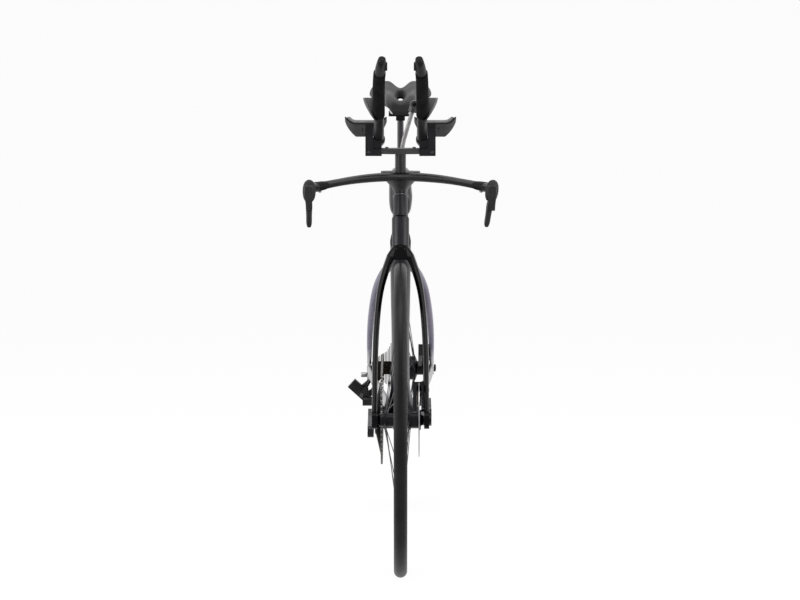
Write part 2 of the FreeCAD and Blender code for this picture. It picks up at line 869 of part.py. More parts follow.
def main_frame():
    head = skin([
        ring(steer(height), X, STEER_BACK, S.head_half_width, S.head_nose, S.head_tail, FOIL_SHARES)
        for height in (HEAD_BOTTOM, HEAD_TOP)
    ])
    top_start = steer(TOP_TUBE_HEIGHT) + Y * (S.head_tail * 0.5)
    top_run = seat_line(TOP_TUBE_HEIGHT) - top_start
    top = skin([
        ring(top_start + top_run * run + Z * (S.top_tube_rise * run), X, Z, S.top_tube_half_width * wide,
             S.top_tube_half_height * tall, S.top_tube_half_height * tall, BOXY_SHARES)
        for run, wide, tall in evened(TOP_TUBE_SHARES, 4)
    ])
    down_start = steer(DOWN_TUBE_START) + Y * float(S.down_tube_start_back)
    down_run = BRACKET - down_start
    down_back = X.cross(down_run).normalize()
    down = skin([
        ring(down_start + down_run * run, X, down_back, S.down_tube_half_width * wide,
             S.down_tube_nose * deep, S.down_tube_tail, FOIL_SHARES)
        for run, wide, deep in evened(DOWN_TUBE_SHARES, 8)
    ])
    seat_rise = SEAT_TUBE_TOP - BRACKET.z
    seat = skin([
        ring(seat_line(BRACKET.z + seat_rise * run), X, Y, S.seat_tube_half_width * wide,
             S.seat_tube_nose * fore, S.seat_tube_tail * aft, FOIL_SHARES)
        for run, wide, fore, aft in evened(SEAT_TUBE_SHARES, 14)
    ])
    half_shell = X * (S.bracket_shell_width / 2)
    shell = bar(BRACKET - half_shell, BRACKET + half_shell, S.bracket_shell_radius)
    whole = fused([head, top, down, seat, shell])
    # Room for the fork crown, the rear wheel, the bearings, the steerer, the seatpost and its wedge
    beyond = X * float(S.bracket_shell_width)
    whole = whole.cut(bar(steer(HEAD_BOTTOM) - STEER_UP * float(S.crown_room_depth), steer(HEAD_BOTTOM),
                          S.crown_room))
    whole = whole.cut(bar(REAR_AXLE - beyond, REAR_AXLE + beyond, S.tyre_radius + S.wheel_room))
    outside = whole
    whole = whole.cut(bar(BRACKET - beyond, BRACKET + beyond, S.bracket_bearing_radius))
    whole = whole.cut(bar(steer(HEAD_BOTTOM - S.cut_overrun), steer(HEAD_TOP + S.cut_overrun),
                          S.steerer_radius + S.steerer_room))
    for end, inward in ((HEAD_BOTTOM, 1), (HEAD_TOP, -1)):
        whole = whole.cut(bar(steer(end) - STEER_UP * (S.cut_overrun * inward),
                              steer(end) + STEER_UP * (S.bearing_width * inward), S.headset_radius))
    whole = whole.cut(skin(post_rings(SEAT_TUBE_TOP - S.post_socket, SEAT_TUBE_TOP + S.cut_overrun,
                                      S.slide_fit)))
    return whole.cut(wedge_prism(0)), outside


FRAME, FRAME_OUTSIDE = main_frame()
formed("main_frame", FRAME)
formed("seatpost_wedge", wedge_prism(S.slide_fit))
formed("headset_bearings", grouped([
    tube(steer(end), steer(end) + STEER_UP * (S.bearing_width * inward), S.headset_radius,
         S.steerer_radius + S.running_fit)
    for end, inward in ((HEAD_BOTTOM, 1), (HEAD_TOP, -1))
]))
SHELL_END = S.bracket_shell_width / 2
formed("bottom_bracket_bearings", grouped([
    tube(BRACKET + X * (SHELL_END * side), BRACKET + X * ((SHELL_END - S.bracket_bearing_width) * side),
         S.bracket_bearing_radius, S.spindle_radius + S.running_fit)
    for side in (-1, 1)
]))

# Stays: a chainstay and a seatstay on each side, meeting at the dropouts

# Chainstay: share of the run back, of the spread, of the climb, of the half width and of the half depth
CHAINSTAY_SHARES = [
    (0.02, 0.4, 0, 1, 1.05), (0.26, 0.4, 0.16, 0.95, 1.05), (0.58, 0.66, 0.5, 0.95, 1),
    (0.84, 0.92, 0.82, 0.75, 0.85), (0.985, 1, 0.98, 0.62, 0.75),
]
# Seatstay: share of the run down and back, of the spread, of the half width and of the half depth
SEATSTAY_SHARES = [
    (-0.03, 0.02, 1.5, 1.25), (0.03, 0.13, 1.45, 1.2), (0.14, 0.46, 1.25, 1.05), (0.29, 0.75, 1.05, 1),
    (0.45, 0.875, 1, 1), (0.6, 0.945, 0.95, 0.95), (0.76, 0.985, 0.85, 0.85), (1.02, 1.01, 0.6, 0.6),
]
DROPOUT = S.rear_hub_width / 2 + S.dropout_thickness / 2
HANGER = REAR_AXLE + at(-DROPOUT, S.dropout_radius * 0.9, -S.dropout_radius * 1.6)


def chainstay(side):
    rings = []
    for run, spread, climb, wide, deep in evened(CHAINSTAY_SHARES, 8):
        centre = at(side * DROPOUT * spread, BRACKET.y + S.bracket_setback * run,
                    BRACKET.z + S.bracket_drop * climb)
        half_depth = S.chainstay_half_depth * deep
        rings.append(ring(centre, X * side, Z, S.stay_half_width * wide, half_depth, half_depth, OVAL_SHARES))
    half = X * (S.dropout_thickness / 2)
    middle = REAR_AXLE + X * (side * DROPOUT)
    return skin(rings).fuse(bar(middle - half, middle + half, S.dropout_radius))


def hanger_lug():
    """The tongue under the right dropout that carries the derailleur."""
    half = X * (S.dropout_thickness / 2)
    axle = REAR_AXLE - X * float(DROPOUT)
    out = (HANGER - axle).cross(X).normalize() * float(S.mount_bolt_radius)
    web = prism([axle - half - out, axle - half + out, HANGER - half + out, HANGER - half - out], half * 2)
    return web.fuse(bar(HANGER - half, HANGER + half, S.mount_bolt_radius))


def seatstay(side):
    high = seat_line(SEATSTAY_TOP) + Y * (S.seat_tube_tail * 0.82)
    low = REAR_AXLE + at(0, -S.dropout_radius * 0.4, S.dropout_radius * 0.6)
    run = low - high
    up_back = X.cross(run).normalize()
    rings = []
    for down, spread, wide, deep in evened(SEATSTAY_SHARES, 12):
        centre = high + run * down + X * (side * S.seatstay_spread * spread)
        half_depth = S.stay_half_depth * deep
        rings.append(ring(centre, X * side, up_back, S.stay_half_width * wide, half_depth, half_depth,
                          OVAL_SHARES))
    return skin(rings)


AXLE_HOLE = bar(REAR_AXLE - X * float(DROPOUT * 2), REAR_AXLE + X * float(DROPOUT * 2),
                S.axle_radius + S.running_fit)
CHAINSTAYS = grouped([
    fused([chainstay(-1), hanger_lug()]).cut(AXLE_HOLE).cut(FRAME_OUTSIDE),
    chainstay(1).cut(AXLE_HOLE).cut(FRAME_OUTSIDE),
])
formed("chainstays", CHAINSTAYS)
SEATSTAYS = seatstay(-1).fuse(seatstay(1)).cut(FRAME_OUTSIDE).cut(CHAINSTAYS).cut(AXLE_HOLE)
formed("seatstays", SEATSTAYS)

# Reservoir cover on the top tube, with a port for the drinking hose

# Cover: share of its length, of its half width and of its height
COVER_SHARES = [
    (0, 0.6, 0.72), (0.04, 0.88, 0.92), (0.12, 1, 0.99), (0.35, 1, 1), (0.65, 0.92, 0.82), (0.9, 0.66, 0.42),
    (1, 0.36, 0.22),
]
COVER_PORT_SHARE = 0.42
COVER_BASE = TOP_TUBE_HEIGHT + S.top_tube_half_height * 0.85
HOSE_FOOT = at(0, -COVER_FRONT + S.cover_length * COVER_PORT_SHARE, COVER_TOP)
# Hose: share of its rise, of its sideways reach and of its forward lean
HOSE_SHARES = [(0, 0, 0), (0.3, 0.06, 0), (0.66, 0.62, 0.3), (1, 1, 1)]


def reservoir_cover():
    height = COVER_TOP - COVER_BASE
    rings = []
    for run, wide, tall in evened(COVER_SHARES, 14):
        half = height * tall / 2
        centre = at(0, -COVER_FRONT + S.cover_length * run, COVER_BASE + half)
        rings.append(ring(centre, X, Z, S.cover_half_width * wide, half, half, BOXY_SHARES))
    port = bar(HOSE_FOOT - Z * float(S.hose_port_height), HOSE_FOOT + Z * float(S.hose_port_height),
               S.hose_port_radius)
    bore = bar(HOSE_FOOT, HOSE_FOOT + Z * float(S.hose_port_height + S.cut_overrun), S.hose_radius)
    return skin(rings).fuse(port).cut(bore).cut(FRAME_OUTSIDE)


def rounded_route(points):
    """Straight runs joined by tangent arcs, with the arc radii."""
    edges, radii = [], []
    last = points[0]
    for before, corner, after in zip(points, points[1:], points[2:]):
        into = (corner - before).normalize()
        out = (after - corner).normalize()
        half_turn = into.getAngle(out) / 2
        reach = 0.45 * min(corner.distanceToPoint(before), corner.distanceToPoint(after))
        radii.append(reach / math.tan(half_turn))
        start = corner - into * reach
        stop = corner + out * reach
        inward = (out - into).normalize()
        centre = corner + inward * math.hypot(radii[-1], reach)
        middle = centre - inward * radii[-1]
        edges.append(Part.makeLine(last, start))
        edges.append(Part.Arc(start, middle, stop).toShape())
        last = stop
    edges.append(Part.makeLine(last, points[-1]))
    return Part.Wire(edges), radii


HOSE_TOP = HOSE_FOOT + at(S.hose_side, -S.hose_lean, S.hose_rise)
HOSE_POINTS = [
    at(HOSE_TOP.x * aside, HOSE_FOOT.y - S.hose_lean * lean, HOSE_FOOT.z + S.hose_rise * rise)
    for rise, aside, lean in HOSE_SHARES
]
HOSE_ROUTE, HOSE_RADII = rounded_route(HOSE_POINTS)
HOSE_END = Part.Wire(Part.makeCircle(float(S.hose_radius), HOSE_POINTS[0], HOSE_POINTS[1] - HOSE_POINTS[0]))
HOSE = HOSE_ROUTE.makePipeShell([HOSE_END], True, False)
print("hose length", round(HOSE_ROUTE.Length, 1), "arc radii", [round(r, 1) for r in HOSE_RADII])
HOSE_AREA = HOSE_END.Length ** 2 / (4 * math.pi)
print("hose volume", round(HOSE.Volume), "of", round(HOSE_AREA * HOSE_ROUTE.Length))
formed("reservoir_cover", reservoir_cover().cut(HOSE))
formed("drinking_hose", HOSE)
HOSE_AIM = (HOSE_POINTS[-1] - HOSE_POINTS[-2]).normalize()


def mouthpiece():
    """An elbow pushed on the hose end, with its mouth facing forward."""
    half = HOSE_AIM * float(S.mouthpiece_radius)
    grip = bar(HOSE_TOP - half, HOSE_TOP + half, S.mouthpiece_radius)
    corner = HOSE_TOP + HOSE_AIM * (S.mouthpiece_radius * 0.9)
    mouth = bar(corner + Y * (S.mouthpiece_radius * 0.6), corner - Y * float(S.mouthpiece_length),
                S.mouthpiece_radius * 0.92)
    hole = bar(corner - Y * float(S.mouthpiece_length + S.cut_overrun),
               corner - Y * (S.mouthpiece_length * 0.3), S.mouthpiece_radius * 0.5)
    return grip.fuse(mouth).cut(hole).cut(HOSE)


formed("hose_mouthpiece", mouthpiece())

# Seatpost and saddle


def saddle_clamp():
    """A head on the post with a cradle under each rail."""
    foot = seat_line(POST_HEAD)
    half = S.clamp_length / 2
    side = S.rail_spacing / 2 + S.rail_radius * 1.6
    low = at(-side, foot.y - half, RAIL_HEIGHT - S.clamp_height * 0.5)
    high = at(side, foot.y + half, RAIL_HEIGHT + S.rail_radius * 0.4)
    yoke = block(low, high)
    neck = block(at(-S.post_half_width * 1.4, foot.y - half * 0.8, POST_HEAD),
                 at(S.post_half_width * 1.4, foot.y + half * 0.8, RAIL_HEIGHT - S.clamp_height * 0.3))
    return yoke.fuse(neck)


POST = skin(post_rings(SEAT_TUBE_TOP - S.post_insertion, POST_HEAD, 0))
formed("seatpost", POST)
CLAMP = saddle_clamp()
RAIL_MIDDLE = seat_line(POST_HEAD).y
# Saddle rail: share of the saddle's length from the clamp, of the pad depth upward and of the spacing
RAIL_SHARES = [(-0.47, 0.47, 0.42), (-0.3, 0.05, 0.75), (-0.12, 0, 1), (0.14, 0, 1), (0.3, 1.45, 1.35)]


def rail(side):
    points = [
        at(side * S.rail_spacing / 2 * spread, RAIL_MIDDLE + S.saddle_length * run,
           RAIL_HEIGHT + S.saddle_pad_depth * lift)
        for run, lift, spread in RAIL_SHARES
    ]
    route, _ = rounded_route(points)
    end = Part.Wire(Part.makeCircle(float(S.rail_radius), points[0], points[1] - points[0]))
    return route.makePipeShell([end], True, False)


RAILS = grouped([rail(-1), rail(1)])
formed("saddle_rails", RAILS)
formed("saddle_clamp", CLAMP.cut(RAILS))

# Saddle section: share of the length, of the half width, of the hump and of the centre dip
SADDLE_SHARES = [
    (0, 0.3, -0.42, 0.5), (0.04, 0.44, -0.08, 0.7), (0.16, 0.485, 0, 0.9), (0.4, 0.53, 0.02, 1),
    (0.62, 0.76, 0.18, 1), (0.8, 0.97, 0.62, 1), (0.93, 1, 0.98, 1), (1, 0.86, 0.84, 0.8),
]


def saddle_section(run, wide, lift, hollow):
    """One cross section: two humps beside a centre channel, over a drawn-in underside."""
    place = SADDLE_NOSE + S.saddle_length * run
    half = S.saddle_half_width * wide
    top = SADDLE_HEIGHT + S.saddle_hump * lift
    dip = top - S.saddle_dip * hollow * (0.35 + 0.65 * max(lift, 0))
    edge = top - S.saddle_pad_depth * 0.42
    base = top - S.saddle_pad_depth
    hem = half * 0.86
    right = at(half, place, edge)
    left = at(-half, place, edge)
    middle = at(0, place, dip)
    low_right = at(hem, place, base)
    low_left = at(-hem, place, base)
    return Part.Wire([
        Part.Arc(left, at(-half * 0.62, place, top), middle).toShape(),
        Part.Arc(middle, at(half * 0.62, place, top), right).toShape(),
        Part.Arc(right, at(half * 0.985, place, edge * 0.5 + base * 0.5), low_right).toShape(),
        Part.makeLine(low_right, low_left),
        Part.Arc(low_left, at(-half * 0.985, place, edge * 0.5 + base * 0.5), left).toShape(),
    ])


def shell_section(run, wide, lift, hollow):
    """The shell under the pad: the pad's underside, one shell thickness deep."""
    place = SADDLE_NOSE + S.saddle_length * run
    hem = S.saddle_half_width * wide * 0.84
    base = SADDLE_HEIGHT + S.saddle_hump * lift - S.saddle_pad_depth - S.slide_fit
    low = base - S.saddle_shell_thickness
    return Part.makePolygon([
        at(hem, place, base), at(-hem, place, base), at(-hem * 0.86, place, low), at(hem * 0.86, place, low),
        at(hem, place, base),
    ])


def relief():
    """The slot through the middle of pad and shell."""
    front = SADDLE_NOSE + S.saddle_length * 0.14
    half = S.relief_half_width
    low = SADDLE_HEIGHT - S.saddle_pad_depth * 4
    outline = [
        ring(at(0, front + S.relief_length / 2, height), X, Y, half, S.relief_length / 2, S.relief_length / 2,
             OVAL_SHARES)
        for height in (low, SADDLE_HEIGHT + S.saddle_hump * 2)
    ]
    return skin(outline)


SLOT = relief()
PAD = skin([saddle_section(*shares) for shares in evened(SADDLE_SHARES, 12)]).cut(SLOT)
formed("saddle_pad", PAD)
SHELL = skin([shell_section(*shares) for shares in evened(SADDLE_SHARES, 12)]).cut(SLOT)
formed("saddle_shell", largest(SHELL.cut(RAILS)))

# Fork: crown, two blades, steerer and tips

# Blade: share of its height, outer and inner share of the half width, share of nose and tail
FORK_SHARES = [
    (0.95, 0.49, 0.04, 1.28), (0.876, 0.645, 0.34, 1.14), (0.783, 0.79, 0.532, 1.04), (0.678, 0.88, 0.653, 1),
    (0.59, 0.926, 0.71, 0.98), (0.472, 0.968, 0.758, 0.94), (0.268, 0.994, 0.8, 0.84), (0.02, 1, 0.815, 0.62),
]
# Crown: share of the blade height, of the half width, of nose and tail, and of the steering axis's lean
CROWN_SHARES = [(0.985, 0.36, 1.3, 1), (0.96, 0.46, 1.3, 0.5), (0.93, 0.52, 1.26, 0)]


def fork_blade(side):
    run = steer(HEAD_BOTTOM) - FRONT_AXLE
    rings = []
    for rise, outer, inner, deep in evened(FORK_SHARES, 10):
        middle = S.fork_half_width * (outer + inner) / 2
        half = S.fork_half_width * (outer - inner) / 2
        centre = FRONT_AXLE + run * rise + X * (side * middle)
        nose = S.fork_leg_nose * deep
        rings.append(ring(centre, X * side, Y, half, nose, S.fork_leg_tail * deep, FOIL_SHARES))
    tip = FRONT_AXLE + X * (side * S.fork_half_width)
    dropout = bar(tip, tip - X * (side * S.fork_tip_thickness), S.fork_tip_radius)
    return skin(rings).fuse(dropout)


def fork():
    top = steer(HEAD_BOTTOM) - STEER_UP * float(S.crown_gap)
    run = steer(HEAD_BOTTOM) - FRONT_AXLE
    rings = [ring(top, X, STEER_BACK, S.head_half_width, S.head_nose, S.head_half_width * 1.5, FOIL_SHARES)]
    for rise, wide, deep, tilt in CROWN_SHARES:
        back = (STEER_BACK * tilt + Y * (1 - tilt)).normalize()
        rings.append(ring(FRONT_AXLE + run * rise, X, back, S.fork_half_width * wide, S.fork_leg_nose * deep,
                          S.fork_leg_tail * deep, FOIL_SHARES))
    # Nothing of the crown but the steerer stands above the lower end of the head tube
    above = bar(top, top + STEER_UP * float(S.crown_room_depth), S.fork_half_width * 2)
    steerer = bar(top - STEER_UP * float(S.steerer_radius), steer(STEERER_TOP), S.steerer_radius)
    whole = fused([skin(rings), steerer, fork_blade(-1).cut(above), fork_blade(1).cut(above)])
    beyond = X * (S.fork_half_width * 2)
    return whole.cut(bar(FRONT_AXLE - beyond, FRONT_AXLE + beyond, S.axle_radius + S.running_fit))


FORK = fork()
formed("fork", FORK)
STEERER_HOLE = bar(steer(HEAD_BOTTOM), steer(STEERER_TOP), S.steerer_radius + S.running_fit)

# Cockpit: spacer, base bar, riser, bridge, brackets, arm cups with pads, extensions with grips


def headset_spacer():
    low = steer(HEAD_TOP) + STEER_UP * float(S.crown_gap)
    high = steer(SPACER_TOP)
    rings = [
        ring(centre, X, STEER_BACK, S.spacer_half_width, S.spacer_nose, S.spacer_tail, FOIL_SHARES)
        for centre in (low, high)
    ]
    return skin(rings).cut(STEERER_HOLE)


formed("headset_spacer", headset_spacer())

# Base bar centre: share of the height from spacer to bar top, half width share and nose share
BAR_HUB_SHARES = [(0, 1, 1), (0.25, 1.04, 1.08), (0.48, 1.6, 1.4), (0.66, 2.2, 1.7), (1.2, 2.4, 1.85)]
# Base bar side: share of the half width, of the reach, of the droop, of half chord and of half thickness
BAR_SHARES = [
    (0, 0, 0, 1, 1), (0.25, 0, 0.08, 0.95, 1), (0.5, 0.01, 0.3, 0.84, 0.92), (0.74, 0.05, 0.64, 0.66, 0.86),
    (0.89, 0.15, 0.86, 0.5, 0.95), (0.975, 0.34, 0.96, 0.41, 1.15), (1, 0.58, 1, 0.385, 1.25),
    (1, 0.8, 1, 0.385, 1.25),
]


def bar_centre(out, reach, droop):
    return at(S.bar_half_width * out, -BAR_PLACE - S.bar_reach * reach,
              BAR_HEIGHT - S.bar_droop * droop)


def bar_wing():
    """The whole wing of the bar in one sweep, from horn to horn."""
    right = [(-shares[0],) + shares[1:] for shares in BAR_SHARES[:0:-1]]
    table = right + BAR_SHARES
    centres = [bar_centre(*shares[:3]) for shares in table]
    line = Part.BSplineCurve()
    line.interpolate(centres)
    rings = []
    for shares, centre in zip(table, centres):
        aim = line.tangent(line.parameter(centre))[0]
        back = Z.cross(aim).normalize()
        up = aim.cross(back)
        half_chord = S.bar_half_chord * shares[3]
        half_thick = S.bar_half_thickness * shares[4]
        rings.append(ring(centre, up, back, half_thick, half_chord, half_chord, OVAL_SHARES))
    return skin(rings)


def base_bar():
    low = steer(SPACER_TOP)
    rise = BAR_TOP - SPACER_TOP
    hub = skin([
        ring(steer(SPACER_TOP + rise * up), X, STEER_BACK, S.spacer_half_width * wide, S.spacer_nose * nose,
             S.spacer_tail, FOIL_SHARES)
        for up, wide, nose in BAR_HUB_SHARES
    ])
    room = S.bar_half_width * 2
    above = block(at(-room, low.y - room, BAR_TOP), at(room, low.y + room, BAR_TOP + room))
    return hub.fuse(bar_wing()).cut(above).cut(STEERER_HOLE)


BASE_BAR = base_bar()
formed("base_bar", BASE_BAR)
formed("riser_post", skin([
    ring(at(0, -BRIDGE_PLACE, height), X, Y, S.riser_half_width, S.riser_half_chord, S.riser_half_chord,
         FOIL_SHARES)
    for height in (BAR_TOP, RISER_TOP)
]))
sub_part("extension_bridge", pad_body("extension_bridge", "XY_Plane", [
    (S.bridge_half_width, S.bridge_half_chord * 0.8),
    (S.bridge_half_width * 0.4, S.bridge_half_chord),
    (-S.bridge_half_width * 0.4, S.bridge_half_chord),
    (-S.bridge_half_width, S.bridge_half_chord * 0.8),
    (-S.bridge_half_width, -S.bridge_half_chord * 0.8),
    (-S.bridge_half_width * 0.4, -S.bridge_half_chord),
    (S.bridge_half_width * 0.4, -S.bridge_half_chord),
    (S.bridge_half_width, -S.bridge_half_chord * 0.8),
], S.bridge_thickness), moved(at(0, -BRIDGE_PLACE, RISER_TOP + S.bridge_thickness / 2)))

# Extension: share of the run, of the climb and of the toe-in, and share of its radius
EXTENSION_SHARES = [
    (0, 0, 0, 1), (0.12, 0.055, 0, 1), (0.3, 0.18, 0, 1), (0.48, 0.36, 0, 1), (0.62, 0.52, 0, 1),
    (0.76, 0.7, 0.05, 1), (0.88, 0.86, 0.3, 1), (0.95, 0.955, 0.7, 0.95), (1, 1.03, 1, 0.7),
]
GRIP_FIRST, GRIP_LAST = 3, 6
# Forearm wing: outer edge from the extension to its corner, as shares of its reach and of its rise
WING_SHARES = [(0.2, -0.2), (0.4, -0.02), (0.65, 0.3), (0.86, 0.63), (1, 1)]
WING_PLACE_SHARE = 0.85
BUTTON_PLACE_SHARE = 0.86


def extension_line(side):
    """Centres and directions of the extension's rings, rear to tip."""
    centres = [
        at(side * (S.extension_half_gap - S.extension_toe * toe), -EXTENSION_PLACE - S.extension_run * run,
           EXTENSION_HEIGHT + S.extension_climb * climb)
        for run, climb, toe, _ in EXTENSION_SHARES
    ]
    line = Part.BSplineCurve()
    line.interpolate(centres)
    aims = [line.tangent(line.parameter(centre))[0] for centre in centres]
    return centres, aims


def round_ring(centre, aim, radius):
    up = aim.cross(X).normalize()
    return ring(centre, up.cross(aim), up, radius, radius, radius, OVAL_SHARES)


def wing(side):
    """A scoop for the forearm behind the grip: a curved outer blade in front of a flat back wall."""
    centres, _ = extension_line(side)
    foot = centres[GRIP_FIRST] * WING_PLACE_SHARE + centres[GRIP_FIRST - 1] * (1 - WING_PLACE_SHARE)
    outer = [foot + at(side * S.wing_reach * out, 0, S.wing_rise * up) for out, up in WING_SHARES]
    inner = [point - X * (side * S.wing_thickness) for point in outer]
    edges = []
    for points in (outer, inner):
        line = Part.BSplineCurve()
        line.interpolate(points)
        edges.append(line.toShape())
    top = Part.makeLine(outer[-1], inner[-1])
    bottom = Part.makeLine(inner[0], outer[0])
    blade = Part.Face(Part.Wire(Part.__sortEdges__([edges[0], top, edges[1], bottom])))
    root = foot + at(0, 0, S.wing_rise * WING_SHARES[0][1])
    crest = foot + at(0, 0, S.wing_rise)
    wall = Part.Face(Part.Wire(Part.__sortEdges__([
        edges[0], Part.makeLine(outer[-1], crest), Part.makeLine(crest, root), Part.makeLine(root, outer[0]),
    ])))
    return wall.extrude(Y * float(S.wing_thickness)).fuse(blade.extrude(-Y * float(S.wing_length)))


def button_solid(side, clearance, depth, proud):
    """The shift paddle on the inner side of the tip, or the pocket it sits in."""
    centres, aims = extension_line(side)
    place = centres[7] * BUTTON_PLACE_SHARE + centres[6] * (1 - BUTTON_PLACE_SHARE)
    aim = at(0, aims[7].y, aims[7].z).normalize()
    up = aim.cross(X).normalize()
    skin_place = place - X * (side * S.extension_radius)
    half = S.button_radius + clearance
    outline = ring(skin_place - X * (side * proud), aim, up, half * 2, half, half, OVAL_SHARES)
    return Part.Face(outline).extrude(X * (side * (proud + depth)))


def extension(side):
    centres, aims = extension_line(side)
    body = skin([
        round_ring(centre, aim, S.extension_radius * shares[3])
        for centre, aim, shares in zip(centres, aims, EXTENSION_SHARES)
    ])
    pocket = button_solid(side, S.slide_fit, S.button_height * 0.6 + S.button_travel + S.body_gap,
                          S.extension_radius)
    return body.fuse(wing(side)).cut(pocket)


def grip(side, core):
    centres, aims = extension_line(side)
    sleeve = skin([
        round_ring(centre, aim, S.grip_radius)
        for centre, aim in list(zip(centres, aims))[GRIP_FIRST:GRIP_LAST + 1]
    ])
    return sleeve.cut(core)


EXTENSIONS = {-1: extension(-1)}
EXTENSIONS[1] = mirrored(EXTENSIONS[-1])
formed("extensions", grouped([EXTENSIONS[-1], EXTENSIONS[1]]))
formed("grips", grouped([grip(side, EXTENSIONS[side]) for side in (-1, 1)]))
for name, side in (("shift_button_right", -1), ("shift_button_left", 1)):
    formed(name, button_solid(side, 0, S.button_height * 0.6, S.button_height * 0.4))

CUP_ANGLE = math.radians(S.cup_tilt)
CUP_FORWARD = at(0, -math.cos(CUP_ANGLE), math.sin(CUP_ANGLE))
CUP_UP = at(0, math.sin(CUP_ANGLE), math.cos(CUP_ANGLE))


def cup_place(side):
    """The middle of a cup's underside."""
    return at(side * S.cup_centre, -CUP_PLACE, CUP_HEIGHT)


def arm_bracket(side):
    """An L-shaped foot and column with a collar round the rear of the extension."""
    front = -BRIDGE_PLACE - S.bracket_half_chord
    back = -BRIDGE_PLACE + S.bracket_half_chord
    foot = block(at(S.bracket_inner, front, FOOT_BOTTOM), at(S.bracket_outer, back, FOOT_TOP))
    column = block(at(S.bracket_column_inner, front, FOOT_BOTTOM),
                   at(S.bracket_outer, back, CUP_HEIGHT + S.cup_length / 2))
    centres, aims = extension_line(1)
    collar = bar(centres[0] + aims[0] * (S.bracket_half_chord * 0.9),
                 centres[0] + aims[0] * (S.bracket_half_chord * 2.1), S.collar_radius)
    web = block(at(S.bracket_inner, -BRIDGE_PLACE - S.bracket_half_chord * 0.4, FOOT_BOTTOM),
                at(S.bracket_column_inner, back, centres[1].z))
    room = X * float(S.bar_half_width)
    plane = cup_place(1)
    beyond = CUP_FORWARD * float(S.bar_half_width)
    above = CUP_UP * float(S.bar_half_width)
    over = prism([plane - room - beyond, plane - room + beyond, plane - room + beyond + above,
                  plane - room - beyond + above], room * 2)
    whole = fused([foot, column, web, collar]).cut(over)
    if side < 0:
        whole = mirrored(whole)
    return whole.cut(EXTENSIONS[side])


formed("arm_brackets", grouped([arm_bracket(-1), arm_bracket(1)]))


# The cups narrow towards the rear: where the taper starts along them, and the half width left at the end
CUP_TAPER_SHARE = -0.12
CUP_REAR_SHARE = 0.48


def taper_corners(side, margin):
    """The outline of what is cut off a cup's rear corner, seen from above."""
    half = S.cup_half_width - margin
    start = S.cup_length * CUP_TAPER_SHARE
    end = S.cup_length / 2
    beyond = S.cup_half_width + S.cut_overrun
    rear = S.cup_half_width * CUP_REAR_SHARE - margin
    return [(side * half, start), (side * beyond, start), (side * beyond, end + S.cut_overrun),
            (side * rear, end + S.cut_overrun)]


def cup_body(label):
    flat = S.cup_half_width * 0.45
    bend = S.cup_half_width * 0.82
    lip = S.cup_half_width - S.cup_thickness
    low = S.cup_rise * 0.34
    body = pad_body(label, "XZ_Plane", [
        (-flat, 0),
        (flat, 0, (bend, low)),
        (S.cup_half_width, S.cup_rise),
        (lip, S.cup_rise, (bend - S.cup_thickness * 0.4, low + S.cup_thickness * 0.9)),
        (flat, S.cup_thickness),
        (-flat, S.cup_thickness, (-bend + S.cup_thickness * 0.4, low + S.cup_thickness * 0.9)),
        (-lip, S.cup_rise),
        (-S.cup_half_width, S.cup_rise, (-bend, low)),
    ], S.cup_length)
    for name, side in (("_right_taper", -1), ("_left_taper", 1)):
        sketch = new_sketch(body, "XY_Plane", label + name)
        closed_outline(sketch, taper_corners(side, 0))
        cut = body.newObject("PartDesign::Pocket", label + name + "_cut")
        cut.Profile = sketch
        cut.Type = "ThroughAll"
        cut.SideType = "Symmetric"
        body.Tip = cut
        doc.recompute()
    return body


def cup_set(side):
    return turned(cup_place(side), X, -S.cup_tilt)


CUPS = []
for name, side in (("arm_cup_right", -1), ("arm_cup_left", 1)):
    cup = cup_body(name)
    cup.Placement = cup_set(side)
    CUPS.append(cup)
both_cups = doc.addObject("Part::Compound", "arm_cups")
both_cups.Links = CUPS
sub_part("arm_cups", both_cups)

# Arm pad: share of the half length, and share of the thickness left at that place
PAD_SHARES = [(-1, 0.45), (-0.94, 0.86), (-0.5, 1), (0.5, 1), (0.94, 0.86), (1, 0.45)]


def arm_pad():
    """A foam pad that follows the cup, with a crown and rounded ends."""
    flat = S.cup_half_width * 0.45
    floor = S.cup_thickness + S.slide_fit
    lip = S.cup_half_width - floor
    bend = S.cup_half_width * 0.82 - floor * 0.5
    low = S.cup_rise * 0.34 + floor
    half_length = S.cup_length / 2 - S.pad_margin
    sections = []
    for run, thick in PAD_SHARES:
        y = half_length * run
        high = S.pad_thickness * thick
        inner = lip - high * 0.62
        corners = [at(x, y, z) for x, z in (
            (-flat, floor), (flat, floor), (lip, S.cup_rise), (inner, S.cup_rise + high * 0.25),
            (flat * 0.9, floor + high), (-flat * 0.9, floor + high),
            (-inner, S.cup_rise + high * 0.25), (-lip, S.cup_rise))]
        under = at(bend, y, low)
        over = at(bend - high * 0.5, y, low + high * 0.72)
        sections.append(Part.Wire([
            Part.makeLine(corners[0], corners[1]),
            Part.Arc(corners[1], under, corners[2]).toShape(),
            Part.makeLine(corners[2], corners[3]),
            Part.Arc(corners[3], over, corners[4]).toShape(),
            Part.makeLine(corners[4], corners[5]),
            Part.Arc(corners[5], at(-over.x, over.y, over.z), corners[6]).toShape(),
            Part.makeLine(corners[6], corners[7]),
            Part.Arc(corners[7], at(-under.x, under.y, under.z), corners[0]).toShape(),
        ]))
    pad = skin(sections)
    for side in (-1, 1):
        corners = [at(x, y, -S.cup_rise) for x, y in taper_corners(side, S.pad_margin)]
        pad = pad.cut(prism(corners, Z * (S.cup_rise * 4)))
    return pad


def placed(shape, placement):
    copy = shape.copy()
    copy.Placement = placement.multiply(copy.Placement)
    return copy


formed("arm_pads", grouped([placed(arm_pad(), cup_set(side)) for side in (-1, 1)]))

# Brake levers in their hoods at the ends of the base bar

